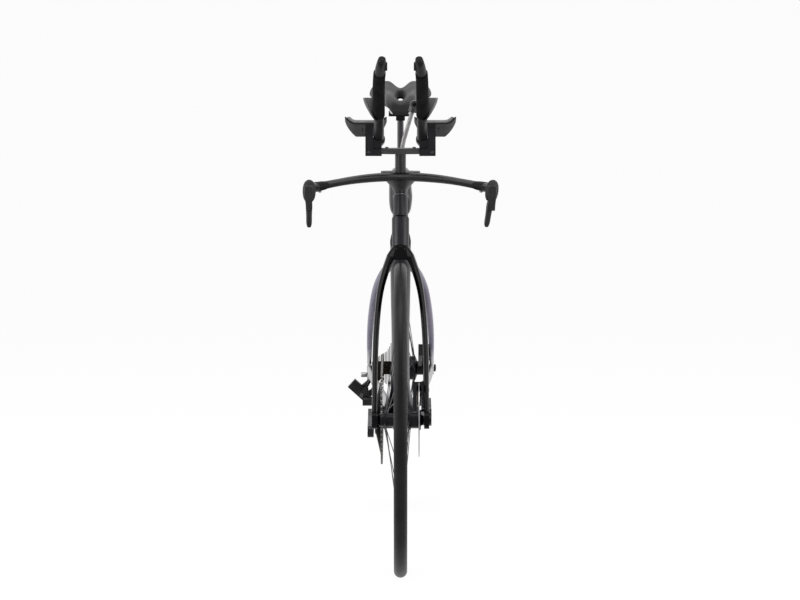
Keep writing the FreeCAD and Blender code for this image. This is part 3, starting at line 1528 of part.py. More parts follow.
# Hood: share of its length, of its half width and of its half height
HOOD_SHARES = [
    (0, 0.9, 0.54), (0.12, 0.95, 0.62), (0.35, 1, 0.92), (0.6, 1, 1), (0.85, 0.86, 0.86), (1, 0.5, 0.5),
]
# Lever: share of its length down, of its forward sweep and of its half width
LEVER_SHARES = [
    (-0.04, 0.2, 0.6), (0.12, 0.3, 0.9), (0.4, 0.7, 1), (0.7, 0.95, 0.9), (0.93, 1, 0.74), (1, 1, 0.45),
]
HORN_END = bar_centre(1, 0.8, 1)
LEVER_PIVOT = HORN_END + at(0, -S.hood_length * 0.62, -S.hood_half_height * 0.45)


def hood():
    rings = [
        ring(HORN_END - Y * (S.hood_length * run), X, Z, S.hood_half_width * wide, S.hood_half_height * tall,
             S.hood_half_height * tall, OVAL_SHARES)
        for run, wide, tall in HOOD_SHARES
    ]
    half = S.lever_half_width + S.lever_slot_gap
    slot = block(LEVER_PIVOT + at(-half, -S.hood_length, -S.hood_half_height * 2),
                 LEVER_PIVOT + at(half, S.hood_length * 0.24, S.lever_eye_radius * 1.25))
    half_pin = X * float(S.hood_half_width * 0.9)
    pin = bar(LEVER_PIVOT - half_pin, LEVER_PIVOT + half_pin, S.lever_pin_radius)
    return skin(rings).cut(slot).fuse(pin)


def lever():
    half = X * float(S.lever_half_width)
    eye = bar(LEVER_PIVOT - half, LEVER_PIVOT + half, S.lever_eye_radius)
    sweep = S.lever_half_depth * 1.6
    rings = [
        ring(LEVER_PIVOT + at(0, -sweep * fore, -S.lever_length * down), X, Y, S.lever_half_width * wide,
             S.lever_half_depth * wide, S.lever_half_depth * wide, OVAL_SHARES)
        for down, fore, wide in LEVER_SHARES
    ]
    hole = bar(LEVER_PIVOT - half * 2, LEVER_PIVOT + half * 2, S.lever_pin_radius + S.running_fit)
    return eye.fuse(skin(rings)).cut(hole)


def hood_turn(side):
    """The left hood is turned a little on its horn, as on the photographed bike."""
    if side < 0:
        return FreeCAD.Placement()
    return FreeCAD.Placement(ORIGIN, FreeCAD.Rotation(Y, float(S.hood_twist)), HORN_END)


def on_side(shape, side):
    made = placed(shape, hood_turn(side))
    return mirrored(made) if side < 0 else made


formed("lever_hoods", grouped([on_side(hood(), side).cut(BASE_BAR) for side in (-1, 1)]))
formed("brake_lever_right", on_side(lever(), -1))
formed("brake_lever_left", on_side(lever(), 1))

# Brake calipers on the left, each with two pads beside its rotor


def caliper_parts(axle, rotor_place, centre, tilt, foot_low, foot_high):
    """A caliper round the edge of a rotor, its foot, and its pads."""
    place = turned(at(rotor_place, centre.y, centre.z), X, tilt)
    reach = at(S.caliper_half_width, S.caliper_half_depth, S.caliper_half_length)
    body = placed(block(-reach, reach), place).fuse(placed(block(foot_low, foot_high), place))
    half_slot = X * (S.caliper_slot / 2)
    middle = axle + X * float(rotor_place)
    body = body.cut(bar(middle - half_slot, middle + half_slot, S.rotor_radius + S.rotor_room))
    pads = []
    for side in (-1, 1):
        near = side * (S.caliper_slot / 2 - S.brake_pad_thickness - S.slide_fit)
        far = side * (S.caliper_slot / 2 - S.slide_fit)
        low = at(min(near, far), -S.brake_pad_half_depth, -S.brake_pad_half_length)
        high = at(max(near, far), S.brake_pad_half_depth, S.brake_pad_half_length)
        pads.append(placed(block(low, high), place))
    return body, grouped(pads)


FORK_RUN = steer(HEAD_BOTTOM) - FRONT_AXLE
FORK_TILT = -math.degrees(math.atan2(FORK_RUN.y, FORK_RUN.z))
# Where the calipers sit on their rotors, as shares of the rotor's radius behind and above the axle
FRONT_CALIPER_SHARES = (0.66, 0.5)
REAR_CALIPER_SHARES = (-0.68, 0.46)
front_caliper, front_pads = caliper_parts(
    FRONT_AXLE, S.front_rotor_place,
    FRONT_AXLE + at(0, *(S.rotor_radius * share for share in FRONT_CALIPER_SHARES)), FORK_TILT,
    at(S.caliper_half_width * 0.4, -S.caliper_half_depth * 2, -S.caliper_half_length * 0.9),
    at(S.caliper_half_width * 1.5, 0, S.caliper_half_length * 0.9))
formed("front_caliper", front_caliper.cut(FORK))
formed("front_brake_pads", front_pads)
rear_caliper, rear_pads = caliper_parts(
    REAR_AXLE, S.rear_rotor_place,
    REAR_AXLE + at(0, *(S.rotor_radius * share for share in REAR_CALIPER_SHARES)), S.rear_caliper_tilt,
    at(0, -S.caliper_half_depth * 2, -S.caliper_half_length * 0.9),
    at(S.caliper_half_width, 0, S.caliper_half_length * 0.9))
formed("rear_caliper", rear_caliper.cut(CHAINSTAYS).cut(SEATSTAYS))
formed("rear_brake_pads", rear_pads)

# Drivetrain: toothed wheels whose seats meet the chain's rollers


def pitch_radius(teeth):
    return S.chain_pitch / (2 * math.sin(math.pi / teeth))


SEAT_SPREAD = math.radians(58)
TOOTH_TIP_SHARE = 0.065


def toothed(teeth, thickness, bore, phase):
    """A toothed disc about X. A roller centre lies at the phase angle on its pitch circle."""
    pitch = pitch_radius(teeth)
    seat = S.roller_radius + S.tooth_room
    tip = pitch + S.tooth_height
    tip_turn = S.chain_pitch * TOOTH_TIP_SHARE / tip
    edges = []
    seats = []
    for number in range(teeth):
        angle = phase + 2 * math.pi * number / teeth
        out = at(0, math.cos(angle), math.sin(angle))
        over = X.cross(out)
        centre = out * float(pitch)
        low = out * (-seat * math.cos(SEAT_SPREAD))
        aside = over * (seat * math.sin(SEAT_SPREAD))
        seats.append((centre + low - aside, centre - out * float(seat), centre + low + aside, angle))
    for number, (start, bottom, stop, angle) in enumerate(seats):
        middle = angle + math.pi / teeth
        tips = [
            at(0, tip * math.cos(turn), tip * math.sin(turn))
            for turn in (middle - tip_turn, middle + tip_turn)
        ]
        after = seats[(number + 1) % teeth][0]
        edges.append(Part.Arc(start, bottom, stop).toShape())
        for near, far in ((stop, tips[0]), (tips[0], tips[1]), (tips[1], after)):
            edges.append(Part.makeLine(near, far))
    half = X * (thickness / 2)
    face = Part.Face(Part.Wire(edges))
    face.translate(-half)
    return face.extrude(half * 2).cut(bar(half * -2, half * 2, bore))


DRIVE_PLANE = -X * float(S.chain_line)
GUIDE = REAR_AXLE + at(0, S.guide_setback, -S.guide_drop)


def tension_centre(angle):
    """The lower pulley's centre when the cage hangs forward of plumb by an angle."""
    return GUIDE + at(0, -S.cage_length * math.sin(angle), -S.cage_length * math.cos(angle))


def chain_circles(cage_angle):
    """Centre, teeth and sense of each wheel in the order the chain passes them."""
    return [
        (REAR_AXLE, CASSETTE_TEETH[DRIVEN_SPROCKET], 1),
        (BRACKET, RING_TEETH, 1),
        (tension_centre(cage_angle), PULLEY_TEETH, 1),
        (GUIDE, PULLEY_TEETH, -1),
    ]


def chain_runs(cage_angle):
    """Straight runs between the wheels, seen with the bike's front on the right."""
    circles = chain_circles(cage_angle)
    runs = []
    for index, (centre, teeth, sense) in enumerate(circles):
        after, after_teeth, after_sense = circles[(index + 1) % len(circles)]
        across, up = centre.y - after.y, after.z - centre.z
        span = math.hypot(across, up)
        radius = sense * pitch_radius(teeth)
        after_radius = after_sense * pitch_radius(after_teeth)
        aim = math.atan2(up, across) - math.asin((radius - after_radius) / span)
        length = math.sqrt(span ** 2 - (radius - after_radius) ** 2)
        runs.append((aim, length))
    return circles, runs


def wrap_turn(runs, index, sense):
    """How far the chain turns round one wheel."""
    turn = (runs[index - 1][0] - runs[index][0]) * sense
    return turn % (2 * math.pi)


def chain_length(cage_angle):
    circles, runs = chain_runs(cage_angle)
    total = sum(length for _, length in runs)
    for index, (_, teeth, sense) in enumerate(circles):
        total += wrap_turn(runs, index, sense) * teeth / (2 * math.pi) * S.chain_pitch
    return float(total)


def settled_cage():
    """The cage angle at which the chain is a whole, even number of links long."""
    first = math.radians(S.cage_angle)
    links = 2 * round(chain_length(first) / S.chain_pitch / 2)
    low, high = first - 0.5, first + 0.5
    falling = chain_length(low) > chain_length(high)
    for _ in range(60):
        middle = (low + high) / 2
        if (chain_length(middle) > links * S.chain_pitch) == falling:
            low = middle
        else:
            high = middle
    return low, links


CAGE_ANGLE, LINKS = settled_cage()
TENSION = tension_centre(CAGE_ANGLE)


def roller_places():
    """Roller centres in order, and for each wheel the angle of one roller on it."""
    circles, runs = chain_runs(CAGE_ANGLE)
    places, phases = [], {}
    travel = 0.0
    covered = 0.0
    for index, (centre, teeth, sense) in enumerate(circles):
        radius = pitch_radius(teeth)
        turn = wrap_turn(runs, index, sense)
        arc = turn * teeth / (2 * math.pi) * S.chain_pitch
        start = runs[index - 1][0] + sense * math.pi / 2
        while travel < covered + arc:
            angle = start - sense * (travel - covered) * 2 * math.pi / (teeth * S.chain_pitch)
            places.append(centre + at(0, -radius * math.cos(angle), radius * math.sin(angle)))
            phases[index] = math.atan2(places[-1].z - centre.z, places[-1].y - centre.y)
            travel += S.chain_pitch
        covered += arc
        aim, length = runs[index]
        leave = aim + sense * math.pi / 2
        begin = centre + at(0, -radius * math.cos(leave), radius * math.sin(leave))
        while travel < covered + length - S.chain_pitch * 0.001:
            way = travel - covered
            places.append(begin + at(0, -way * math.cos(aim), way * math.sin(aim)))
            travel += S.chain_pitch
        covered += length
    return places[:LINKS], phases


ROLLERS, PHASES = roller_places()
print("chain links", LINKS, "rollers", len(ROLLERS), "cage angle", round(math.degrees(CAGE_ANGLE), 1))


def link_plate(inside):
    """One waisted link plate whose inner face lies at a distance from the chain's middle."""
    half = S.chain_pitch / 2
    tall = S.plate_half_height
    ends = [at(inside, half, tall), at(inside, half, -tall), at(inside, -half, -tall), at(inside, -half, tall)]
    outline = Part.Wire([
        Part.Arc(ends[0], at(inside, half + tall, 0), ends[1]).toShape(),
        Part.Arc(ends[1], at(inside, 0, -tall * 0.74), ends[2]).toShape(),
        Part.Arc(ends[2], at(inside, -half - tall, 0), ends[3]).toShape(),
        Part.Arc(ends[3], at(inside, 0, tall * 0.74), ends[0]).toShape(),
    ])
    return Part.Face(outline).extrude(X * float(S.plate_thickness))


def chain_link(inner):
    """An inner link with its rollers, or an outer link with its pins."""
    roller_half = S.roller_width / 2
    inside = roller_half if inner else roller_half + S.plate_thickness + S.plate_gap
    plate = link_plate(inside)
    solid = plate
    other = mirrored(plate)
    ends = [Y * float(S.chain_pitch / 2), Y * float(-S.chain_pitch / 2)]
    if inner:
        for end in ends:
            half = X * float(roller_half)
            solid = solid.fuse(bar(end - half, end + half, S.roller_radius))
        solid = solid.fuse(other)
        reach = X * float(roller_half * 2)
        for end in ends:
            solid = solid.cut(bar(end - reach, end + reach, S.pin_radius + S.running_fit))
        return solid
    reach = X * float(inside + S.plate_thickness)
    for end in ends:
        solid = solid.fuse(bar(end - reach, end + reach, S.pin_radius))
    return solid.fuse(other)


def chain():
    kinds = [chain_link(True), chain_link(False)]
    made = []
    for number, place in enumerate(ROLLERS):
        after = ROLLERS[(number + 1) % LINKS]
        step = after - place
        link = kinds[number % 2].copy()
        lean = math.degrees(math.atan2(step.z, step.y))
        link.Placement = turned((place + after) * 0.5 + DRIVE_PLANE, X, lean)
        made.append(link)
    return grouped(made)


formed("chain", chain())

# Cassette on its freehub body


def cassette():
    solids = []
    for number, teeth in enumerate(CASSETTE_TEETH):
        place = REAR_AXLE + DRIVE_PLANE - X * (S.sprocket_pitch * (DRIVEN_SPROCKET - number))
        phase = PHASES[0] if number == DRIVEN_SPROCKET else 0
        disc = toothed(teeth, S.sprocket_thickness, S.freehub_radius, phase)
        disc.translate(place)
        solids.append(disc)
        if number:
            near = place - X * (S.sprocket_thickness / 2)
            far = near - X * float(S.sprocket_pitch - S.sprocket_thickness)
            solids.append(tube(near, far, S.freehub_radius + S.spacer_wall, S.freehub_radius))
    return grouped(solids)


formed("cassette", cassette())
sub_part("freehub_body", lathe("freehub_body", [
    (-S.freehub_start, S.axle_radius + S.running_fit),
    (-S.freehub_start, S.freehub_radius),
    (-S.freehub_start - S.freehub_length, S.freehub_radius),
    (-S.freehub_start - S.freehub_length, S.axle_radius + S.running_fit),
]), moved(REAR_AXLE))

# Crankset: spindle, two arms and a dished chainring

CRANK_INNER = S.crank_outer - S.crank_thickness
LEFT_CRANK_OUTER = S.crank_outer - S.left_crank_inset
sub_part("crank_spindle", lathe("crank_spindle", [
    (-S.crank_outer, S.spindle_bore),
    (-S.crank_outer, S.spindle_radius),
    (LEFT_CRANK_OUTER, S.spindle_radius),
    (LEFT_CRANK_OUTER, S.spindle_bore),
]), moved(BRACKET))


def crank_body(label):
    return pad_body(label, "YZ_Plane", [
        (0, S.crank_boss_radius, (-S.crank_boss_radius, 0)),
        (0, -S.crank_boss_radius),
        (S.crank_length * 0.3, -S.crank_half_width),
        (S.crank_length, -S.pedal_eye_radius, (S.crank_length + S.pedal_eye_radius, 0)),
        (S.crank_length, S.pedal_eye_radius),
        (S.crank_length * 0.3, S.crank_half_width),
    ], S.crank_thickness, [(0, 0, S.spindle_radius), (S.crank_length, 0, S.pedal_hole_radius)])


sub_part("crank_arm_right", crank_body("crank_arm_right"),
         turned(BRACKET - X * float(S.crank_outer - S.crank_thickness / 2), X, S.crank_angle + 180))
left_arm = crank_body("left_arm")
left_collar = lathe("left_collar", [
    (-S.crank_thickness / 2, S.spindle_radius),
    (-S.crank_thickness / 2, S.crank_boss_radius),
    (-S.crank_thickness / 2 - S.left_collar_length, S.spindle_radius + S.spacer_wall * 2),
    (-S.crank_thickness / 2 - S.left_collar_length, S.spindle_radius),
])
left_crank = doc.addObject("Part::MultiFuse", "crank_arm_left")
left_crank.Shapes = [left_arm, left_collar]
sub_part("crank_arm_left", left_crank,
         turned(BRACKET + X * float(LEFT_CRANK_OUTER - S.crank_thickness / 2), X, S.crank_angle))


def chainring():
    """A toothed rim on a dished web that is bolted to the inside of the right crank arm."""
    inner = pitch_radius(RING_TEETH) - S.ring_rim_depth
    rim = toothed(RING_TEETH, S.ring_thickness, inner, PHASES[1])
    half = S.ring_thickness / 2
    face = CRANK_INNER - S.chain_line
    foot = S.ring_bore + S.ring_web * 3
    outline = [
        at(half, inner + half, 0), at(-half, inner + half, 0), at(-S.ring_dish - S.ring_web / 2, foot, 0),
        at(-face, foot, 0), at(-face, S.ring_bore, 0), at(-S.ring_dish + S.ring_web / 2, S.ring_bore, 0),
        at(-S.ring_dish + S.ring_web / 2, foot, 0),
    ]
    web = Part.Face(Part.makePolygon(outline + outline[:1])).revolve(ORIGIN, X, 360)
    return rim.fuse(web)


formed("chainring", chainring(), moved(BRACKET + DRIVE_PLANE))

# Rear derailleur: a slanted linkage, a knuckle, a sprung cage and two pulleys

SLANT = math.radians(S.link_slant)
LEAN = math.radians(S.link_lean)
LINK_IN = at(math.cos(SLANT), 0, -math.sin(SLANT))
LINK_ALONG = at(-math.sin(SLANT) * math.cos(LEAN), -math.sin(LEAN), -math.cos(SLANT) * math.cos(LEAN))
LINK_AXIS = LINK_ALONG.cross(LINK_IN)
KNUCKLE_PIVOT = GUIDE + at(-S.knuckle_pivot_out, S.knuckle_pivot_back, S.knuckle_pivot_up)
MOUNT_PIVOT = KNUCKLE_PIVOT - LINK_ALONG * float(S.link_length)
LINK_FRAME = FreeCAD.Placement(FreeCAD.Matrix(
    LINK_ALONG.x, LINK_IN.x, LINK_AXIS.x, MOUNT_PIVOT.x,
    LINK_ALONG.y, LINK_IN.y, LINK_AXIS.y, MOUNT_PIVOT.y,
    LINK_ALONG.z, LINK_IN.z, LINK_AXIS.z, MOUNT_PIVOT.z,
    0, 0, 0, 1))
LUG_INNER = S.link_half_width + S.body_gap
LUG_OUTER = LUG_INNER + S.lug_thickness
PIVOT_HALF = S.link_offset / 2
LUG_HALF = PIVOT_HALF + S.lug_radius


def upright(x, y, radius, half):
    """A round bar along the pivots' direction, in the linkage's own axes."""
    return bar(at(x, y, -half), at(x, y, half), radius)


def linkage_link(side):
    solid = block(at(0, -S.link_half_thickness, -S.link_half_width),
                  at(S.link_length, S.link_half_thickness, S.link_half_width))
    for x in (0, S.link_length):
        solid = solid.fuse(upright(x, 0, S.link_eye_radius, S.link_half_width))
    for x in (0, S.link_length):
        solid = solid.cut(upright(x, 0, S.link_pin_radius + S.running_fit, S.link_half_width * 2))
    solid.translate(Y * float(PIVOT_HALF * side))
    return placed(solid, LINK_FRAME)


def linkage_fork(pivot, outward):
    """Two lugs with a pin through each pair of link eyes, closed by a block."""
    near = pivot + S.lug_root * outward
    far = near + S.lug_reach * outward
    solid = block(at(min(near, far), -LUG_HALF, -LUG_OUTER), at(max(near, far), LUG_HALF, LUG_OUTER))
    for side in (-1, 1):
        low = min(side * LUG_INNER, side * LUG_OUTER)
        high = max(side * LUG_INNER, side * LUG_OUTER)
        solid = solid.fuse(block(at(min(pivot, near), -LUG_HALF, low), at(max(pivot, near), LUG_HALF, high)))
        for y in (-PIVOT_HALF, PIVOT_HALF):
            solid = solid.fuse(bar(at(pivot, y, low), at(pivot, y, high), S.lug_radius))
    for y in (-PIVOT_HALF, PIVOT_HALF):
        solid = solid.fuse(upright(pivot, y, S.link_pin_radius, LUG_OUTER))
    return placed(solid, LINK_FRAME)


def eye_room(pivot):
    """The room the link eyes turn in, round their pins."""
    rooms = []
    for y in (-PIVOT_HALF, PIVOT_HALF):
        room = upright(pivot, y, S.link_eye_radius + S.body_gap, LUG_INNER)
        rooms.append(room.cut(upright(pivot, y, S.link_pin_radius, LUG_INNER)))
    return placed(grouped(rooms), LINK_FRAME)


BATTERY_PLACE = REAR_AXLE + at(-S.battery_out, S.battery_back, -S.battery_drop)
BATTERY_REACH = at(S.battery_length, S.battery_depth, S.battery_width) * 0.5
BATTERY = placed(block(-BATTERY_REACH, BATTERY_REACH), turned(BATTERY_PLACE, Y, S.battery_tilt))


def derailleur_mount():
    inner_face = HANGER + X * (S.dropout_thickness / 2)
    bolt_end = inner_face + X * float(S.mount_bolt_length)
    boss = bar(inner_face, bolt_end, S.mount_bolt_radius)
    back = MOUNT_PIVOT - LINK_ALONG * float(S.lug_root + S.lug_reach / 2)
    arm = bar((inner_face + bolt_end) * 0.5, back, S.mount_arm_radius)
    holder = bar(back, BATTERY_PLACE, S.mount_arm_radius)
    return fused([linkage_fork(0, -1), arm, boss, holder]).cut(eye_room(0)).cut(BATTERY)


def derailleur_knuckle():
    barrel_inner = S.chain_line + S.cage_half_gap + S.cage_plate + S.body_gap
    barrel = bar(GUIDE - X * float(S.knuckle_outer), GUIDE - X * float(barrel_inner), S.knuckle_radius)
    bore_end = barrel_inner + S.cage_stub_length + S.body_gap
    bore = bar(GUIDE - X * float(bore_end), GUIDE, S.cage_stub_radius + S.running_fit)
    neck_start = KNUCKLE_PIVOT + LINK_ALONG * float(S.lug_root + S.lug_reach / 2)
    neck = bar(neck_start, at(neck_start.x, GUIDE.y, GUIDE.z), S.mount_arm_radius)
    return fused([linkage_fork(S.link_length, 1), neck, barrel]).cut(bore)


def derailleur_cage():
    """Two plates joined by the pulley pins, with a stub that turns in the knuckle."""
    made = None
    across = (TENSION - GUIDE).cross(X).normalize() * float(S.cage_plate_radius)
    for side in (-1, 1):
        inside = DRIVE_PLANE + X * float(S.cage_half_gap * side)
        thick = X * float(S.cage_plate * side)
        web = prism([GUIDE + inside - across, GUIDE + inside + across, TENSION + inside + across,
                     TENSION + inside - across], thick)
        for end in (GUIDE, TENSION):
            web = web.fuse(bar(end + inside, end + inside + thick, S.cage_plate_radius))
        waist = bar((GUIDE + TENSION) * 0.5 + inside - thick, (GUIDE + TENSION) * 0.5 + inside + thick * 2,
                    S.cage_plate_radius * 0.62)
        web = web.cut(waist)
        made = web if made is None else made.fuse(web)
    reach = X * float(S.cage_half_gap + S.cage_plate)
    for end in (GUIDE, TENSION):
        made = made.fuse(bar(end + DRIVE_PLANE - reach, end + DRIVE_PLANE + reach, S.cage_pin_radius))
    outer = GUIDE + DRIVE_PLANE - reach
    stub = bar(outer + X * (S.cage_plate * 0.5), outer - X * float(S.cage_stub_length), S.cage_stub_radius)
    return made.fuse(stub)


def pulley(phase):
    bore = S.cage_pin_radius + S.running_fit
    half = X * float(S.cage_half_gap - S.body_gap)
    wheel_disc = toothed(PULLEY_TEETH, S.pulley_half_thickness * 2, S.cage_pin_radius * 2, phase)
    return wheel_disc.fuse(tube(-half, half, S.cage_pin_radius * 2.6, bore))


formed("derailleur_mount", derailleur_mount())
formed("derailleur_battery", BATTERY)
formed("derailleur_outer_link", linkage_link(-1))
formed("derailleur_inner_link", linkage_link(1))
formed("derailleur_knuckle", derailleur_knuckle())
formed("derailleur_cage", derailleur_cage())
formed("guide_pulley", pulley(PHASES[3]), moved(GUIDE + DRIVE_PLANE))
formed("tension_pulley", pulley(PHASES[2]), moved(TENSION + DRIVE_PLANE))

doc.recompute()
for label, thing in SUBPARTS:
    shape = thing.Shape
    if "Invalid" in thing.State or "Error" in thing.State or shape.isNull() or not shape.isValid():
        raise ValueError(label + " was not built")
    shape.exportStep("parts/" + label + ".step")
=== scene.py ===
import math

import bpy
from mathutils import Matrix, Vector


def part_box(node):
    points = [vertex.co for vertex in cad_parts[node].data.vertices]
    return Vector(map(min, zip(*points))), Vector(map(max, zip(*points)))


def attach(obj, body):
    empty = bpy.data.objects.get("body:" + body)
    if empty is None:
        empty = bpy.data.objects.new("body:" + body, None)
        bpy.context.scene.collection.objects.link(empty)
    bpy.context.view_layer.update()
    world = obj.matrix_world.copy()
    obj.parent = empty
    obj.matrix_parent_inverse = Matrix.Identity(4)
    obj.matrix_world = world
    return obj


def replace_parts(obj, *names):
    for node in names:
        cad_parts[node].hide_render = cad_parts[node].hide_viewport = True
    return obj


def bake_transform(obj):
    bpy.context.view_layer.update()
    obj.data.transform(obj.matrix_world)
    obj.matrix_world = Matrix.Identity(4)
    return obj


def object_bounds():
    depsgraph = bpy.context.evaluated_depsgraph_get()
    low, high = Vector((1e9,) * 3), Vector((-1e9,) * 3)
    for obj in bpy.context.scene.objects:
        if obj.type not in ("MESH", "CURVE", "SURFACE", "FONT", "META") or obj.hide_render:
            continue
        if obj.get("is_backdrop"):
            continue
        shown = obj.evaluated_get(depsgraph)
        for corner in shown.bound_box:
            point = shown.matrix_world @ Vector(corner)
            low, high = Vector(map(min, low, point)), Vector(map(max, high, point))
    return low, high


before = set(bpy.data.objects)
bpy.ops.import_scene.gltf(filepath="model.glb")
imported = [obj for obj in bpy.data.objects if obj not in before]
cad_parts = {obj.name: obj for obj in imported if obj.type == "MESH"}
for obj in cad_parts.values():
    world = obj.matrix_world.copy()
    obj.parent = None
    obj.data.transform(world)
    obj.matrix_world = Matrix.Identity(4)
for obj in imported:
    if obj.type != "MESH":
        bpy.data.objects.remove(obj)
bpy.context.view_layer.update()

# Main frame
# One moulded carbon piece: slim head tube, deep aero top, down and seat tubes and the bottom
# bracket shell. It is sanded, sprayed near-black with a faint violet flake and left satin.


def open_up(finish):
    """A finish's node tree, its shader and the place on the bike in metres."""
    tree = finish.node_tree
    return tree, tree.nodes["Principled BSDF"], tree.nodes["Texture Coordinate"].outputs["Object"]


def start_finish(name):
    """A fresh finish, opened up."""
    finish = bpy.data.materials.new(name)
    finish.use_nodes = True
    finish.node_tree.nodes.new("ShaderNodeTexCoord")
    return (finish, *open_up(finish))


def mottle(tree, place, size, detail=2.0):
    """Soft cloudy change over about that many metres."""
    cloud = tree.nodes.new("ShaderNodeTexNoise")
    cloud.inputs["Scale"].default_value = 1 / size
    cloud.inputs["Detail"].default_value = detail
    tree.links.new(place, cloud.inputs["Vector"])
    return cloud.outputs["Fac"]


def worked(tree, operation, *amounts):
    """A number worked out from others, which are fixed or change over the surface."""
    node = tree.nodes.new("ShaderNodeMath")
    node.operation = operation
    for socket, amount in zip(node.inputs, amounts):
        if isinstance(amount, float):
            socket.default_value = amount
        else:
            tree.links.new(amount, socket)
    return node.outputs[0]


def span(tree, amount, low, high, start=0.3, stop=0.7):
    """A number from low to high as the amount goes from start to stop."""
    scale = tree.nodes.new("ShaderNodeMapRange")
    for socket, value in zip(("From Min", "From Max", "To Min", "To Max"), (start, stop, low, high)):
        scale.inputs[socket].default_value = value
    tree.links.new(amount, scale.inputs["Value"])
    return scale.outputs["Result"]


def tint(tree, amount, *stops):
    """A colour that follows an amount, from (amount, colour) stops."""
    node = tree.nodes.new("ShaderNodeValToRGB")
    marks = node.color_ramp.elements
    while len(marks) < len(stops):
        marks.new(0.5)
    for mark, (at, colour) in zip(marks, stops):
        mark.position = at
        mark.color = (*colour, 1)
    tree.links.new(amount, node.inputs["Fac"])
    return node.outputs["Color"]


def paint(tree, shader, amount, *stops):
    """Colours a surface by an amount, from (amount, colour) stops."""
    tree.links.new(tint(tree, amount, *stops), shader.inputs["Base Color"])


def polish(tree, shader, amount, low, high, start=0.3, stop=0.7):
    """Roughens a surface from low to high as the amount goes from start to stop."""
    tree.links.new(span(tree, amount, low, high, start, stop), shader.inputs["Roughness"])


def press(tree, shader, *heights):
    """Raises the surface by each (height, depth in metres) in turn."""
    last = None
    for height, depth in heights:
        bump = tree.nodes.new("ShaderNodeBump")
        bump.inputs["Strength"].default_value = 1.0
        bump.inputs["Distance"].default_value = depth
        tree.links.new(height, bump.inputs["Height"])
        if last:
            tree.links.new(last, bump.inputs["Normal"])
        last = bump.outputs["Normal"]
    tree.links.new(last, shader.inputs["Normal"])


def dress(finish, *names):
    """Gives solids of the bike their finish."""
    for name in names:
        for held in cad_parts[name].material_slots:
            held.material = finish


def sprayed(name, dark, light, rough, shine, coat=0.0, coat_rough=0.03, cloud_size=0.09, flake=0.0004,
            flake_share=0.55, peel_size=0.0035, peel_depth=0.00003):
    """Sprayed lacquer over carbon: cloudy colour, fine flake and a faint orange peel."""
    finish, tree, shader, place = start_finish(name)
    cloud = mottle(tree, place, cloud_size)
    clouded = worked(tree, "MULTIPLY", cloud, 1 - flake_share)
    tone = worked(tree, "MULTIPLY_ADD", mottle(tree, place, flake, 1.0), flake_share, clouded)
    paint(tree, shader, tone, (0.32, dark), (0.68, light))
    polish(tree, shader, cloud, rough * 0.88, rough * 1.12)
    shader.inputs["Specular IOR Level"].default_value = shine
    shader.inputs["Coat Weight"].default_value = coat
    shader.inputs["Coat Roughness"].default_value = coat_rough
    press(tree, shader, (mottle(tree, place, peel_size, 1.0), peel_depth))
    return finish


frame_satin = sprayed("frame_satin", (0.0045, 0.0042, 0.0058), (0.010, 0.0092, 0.0135), rough=0.34, shine=0.15,
                      coat=0.05, coat_rough=0.3)
dress(frame_satin, "main_frame")


def touch(node, start, aim):
    """Where a line from start meets a solid, and the way its skin faces there."""
    hit, spot, facing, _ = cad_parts[node].ray_cast(Vector(start), Vector(aim).normalized())
    if not hit:
        raise ValueError(f"nothing of {node} lies along that line")
    return spot, facing


def seat(node, start, aim, head, proud=0.0):
    """A screw's place where a line from start meets a solid, with its head's radius and height."""
    spot, facing = touch(node, start, aim)
    return (spot + facing * proud, facing, *head)


def rough_form(name, verts, faces):
    """A bare mesh in the scene from points and faces."""
    mesh = bpy.data.meshes.new(name)
    mesh.from_pydata([tuple(v) for v in verts], [], faces)
    form = bpy.data.objects.new(name, mesh)
    bpy.context.scene.collection.objects.link(form)
    return form


def lay_up(name, verts, faces, finish, body, slot, smooth=True):
    """Makes a piece from points and faces and sets it on its body, if it has just one."""
    piece = rough_form(name, verts, faces)
    piece.data.validate()
    piece.data.update()
    piece.data.materials.append(finish)
    for face in piece.data.polygons:
        face.use_smooth = smooth
    if body:
        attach(piece, body)
    return piece


def aimed(spot, aim):
    """A frame at a spot whose Z follows aim."""
    turn = Vector(aim).normalized().to_track_quat("Z", "Y").to_matrix().to_4x4()
    return Matrix.Translation(Vector(spot)) @ turn


def round_angles(steps):
    """Even angles once round."""
    return [2 * math.pi * step / steps for step in range(steps)]


def wrap(rows, steps, first=0, loop=False, start=False, end=False):
    """Faces along rows of points, each a ring of that many steps, that loop back or close at an end."""
    faces = []
    for row in range(rows if loop else rows - 1):
        near, far = first + row * steps, first + (row + 1) % rows * steps
        for step in range(steps):
            after = (step + 1) % steps
            faces.append((near + step, near + after, far + after, far + step))
    if start:
        faces.append(tuple(reversed(range(first, first + steps))))
    if end:
        faces.append(tuple(range(first + (rows - 1) * steps, first + rows * steps)))
    return faces


def turned_rings(profile, steps, verts, faces, place, corners=0):
    """Adds a turned shape to a mesh: (radius, height) rows round Z, of which the last corners are hexagons."""
    first = len(verts)
    for row, (radius, height) in enumerate(profile):
        for angle in round_angles(steps):
            reach = radius
            if row >= len(profile) - corners:
                reach = radius / math.cos((angle % (math.pi / 3)) - math.pi / 6)
            verts.append(place @ Vector((reach * math.cos(angle), reach * math.sin(angle), height)))
    faces += wrap(len(profile), steps, first, end=True)


head_steps = 24
# Up the side of a screw's head and down into its socket: shares of its radius and of its height
head_shares = ((1, -0.3), (1, 0.62), (0.94, 0.86), (0.8, 1), (0.58, 1), (0.52, 0.94), (0.5, 0.35))


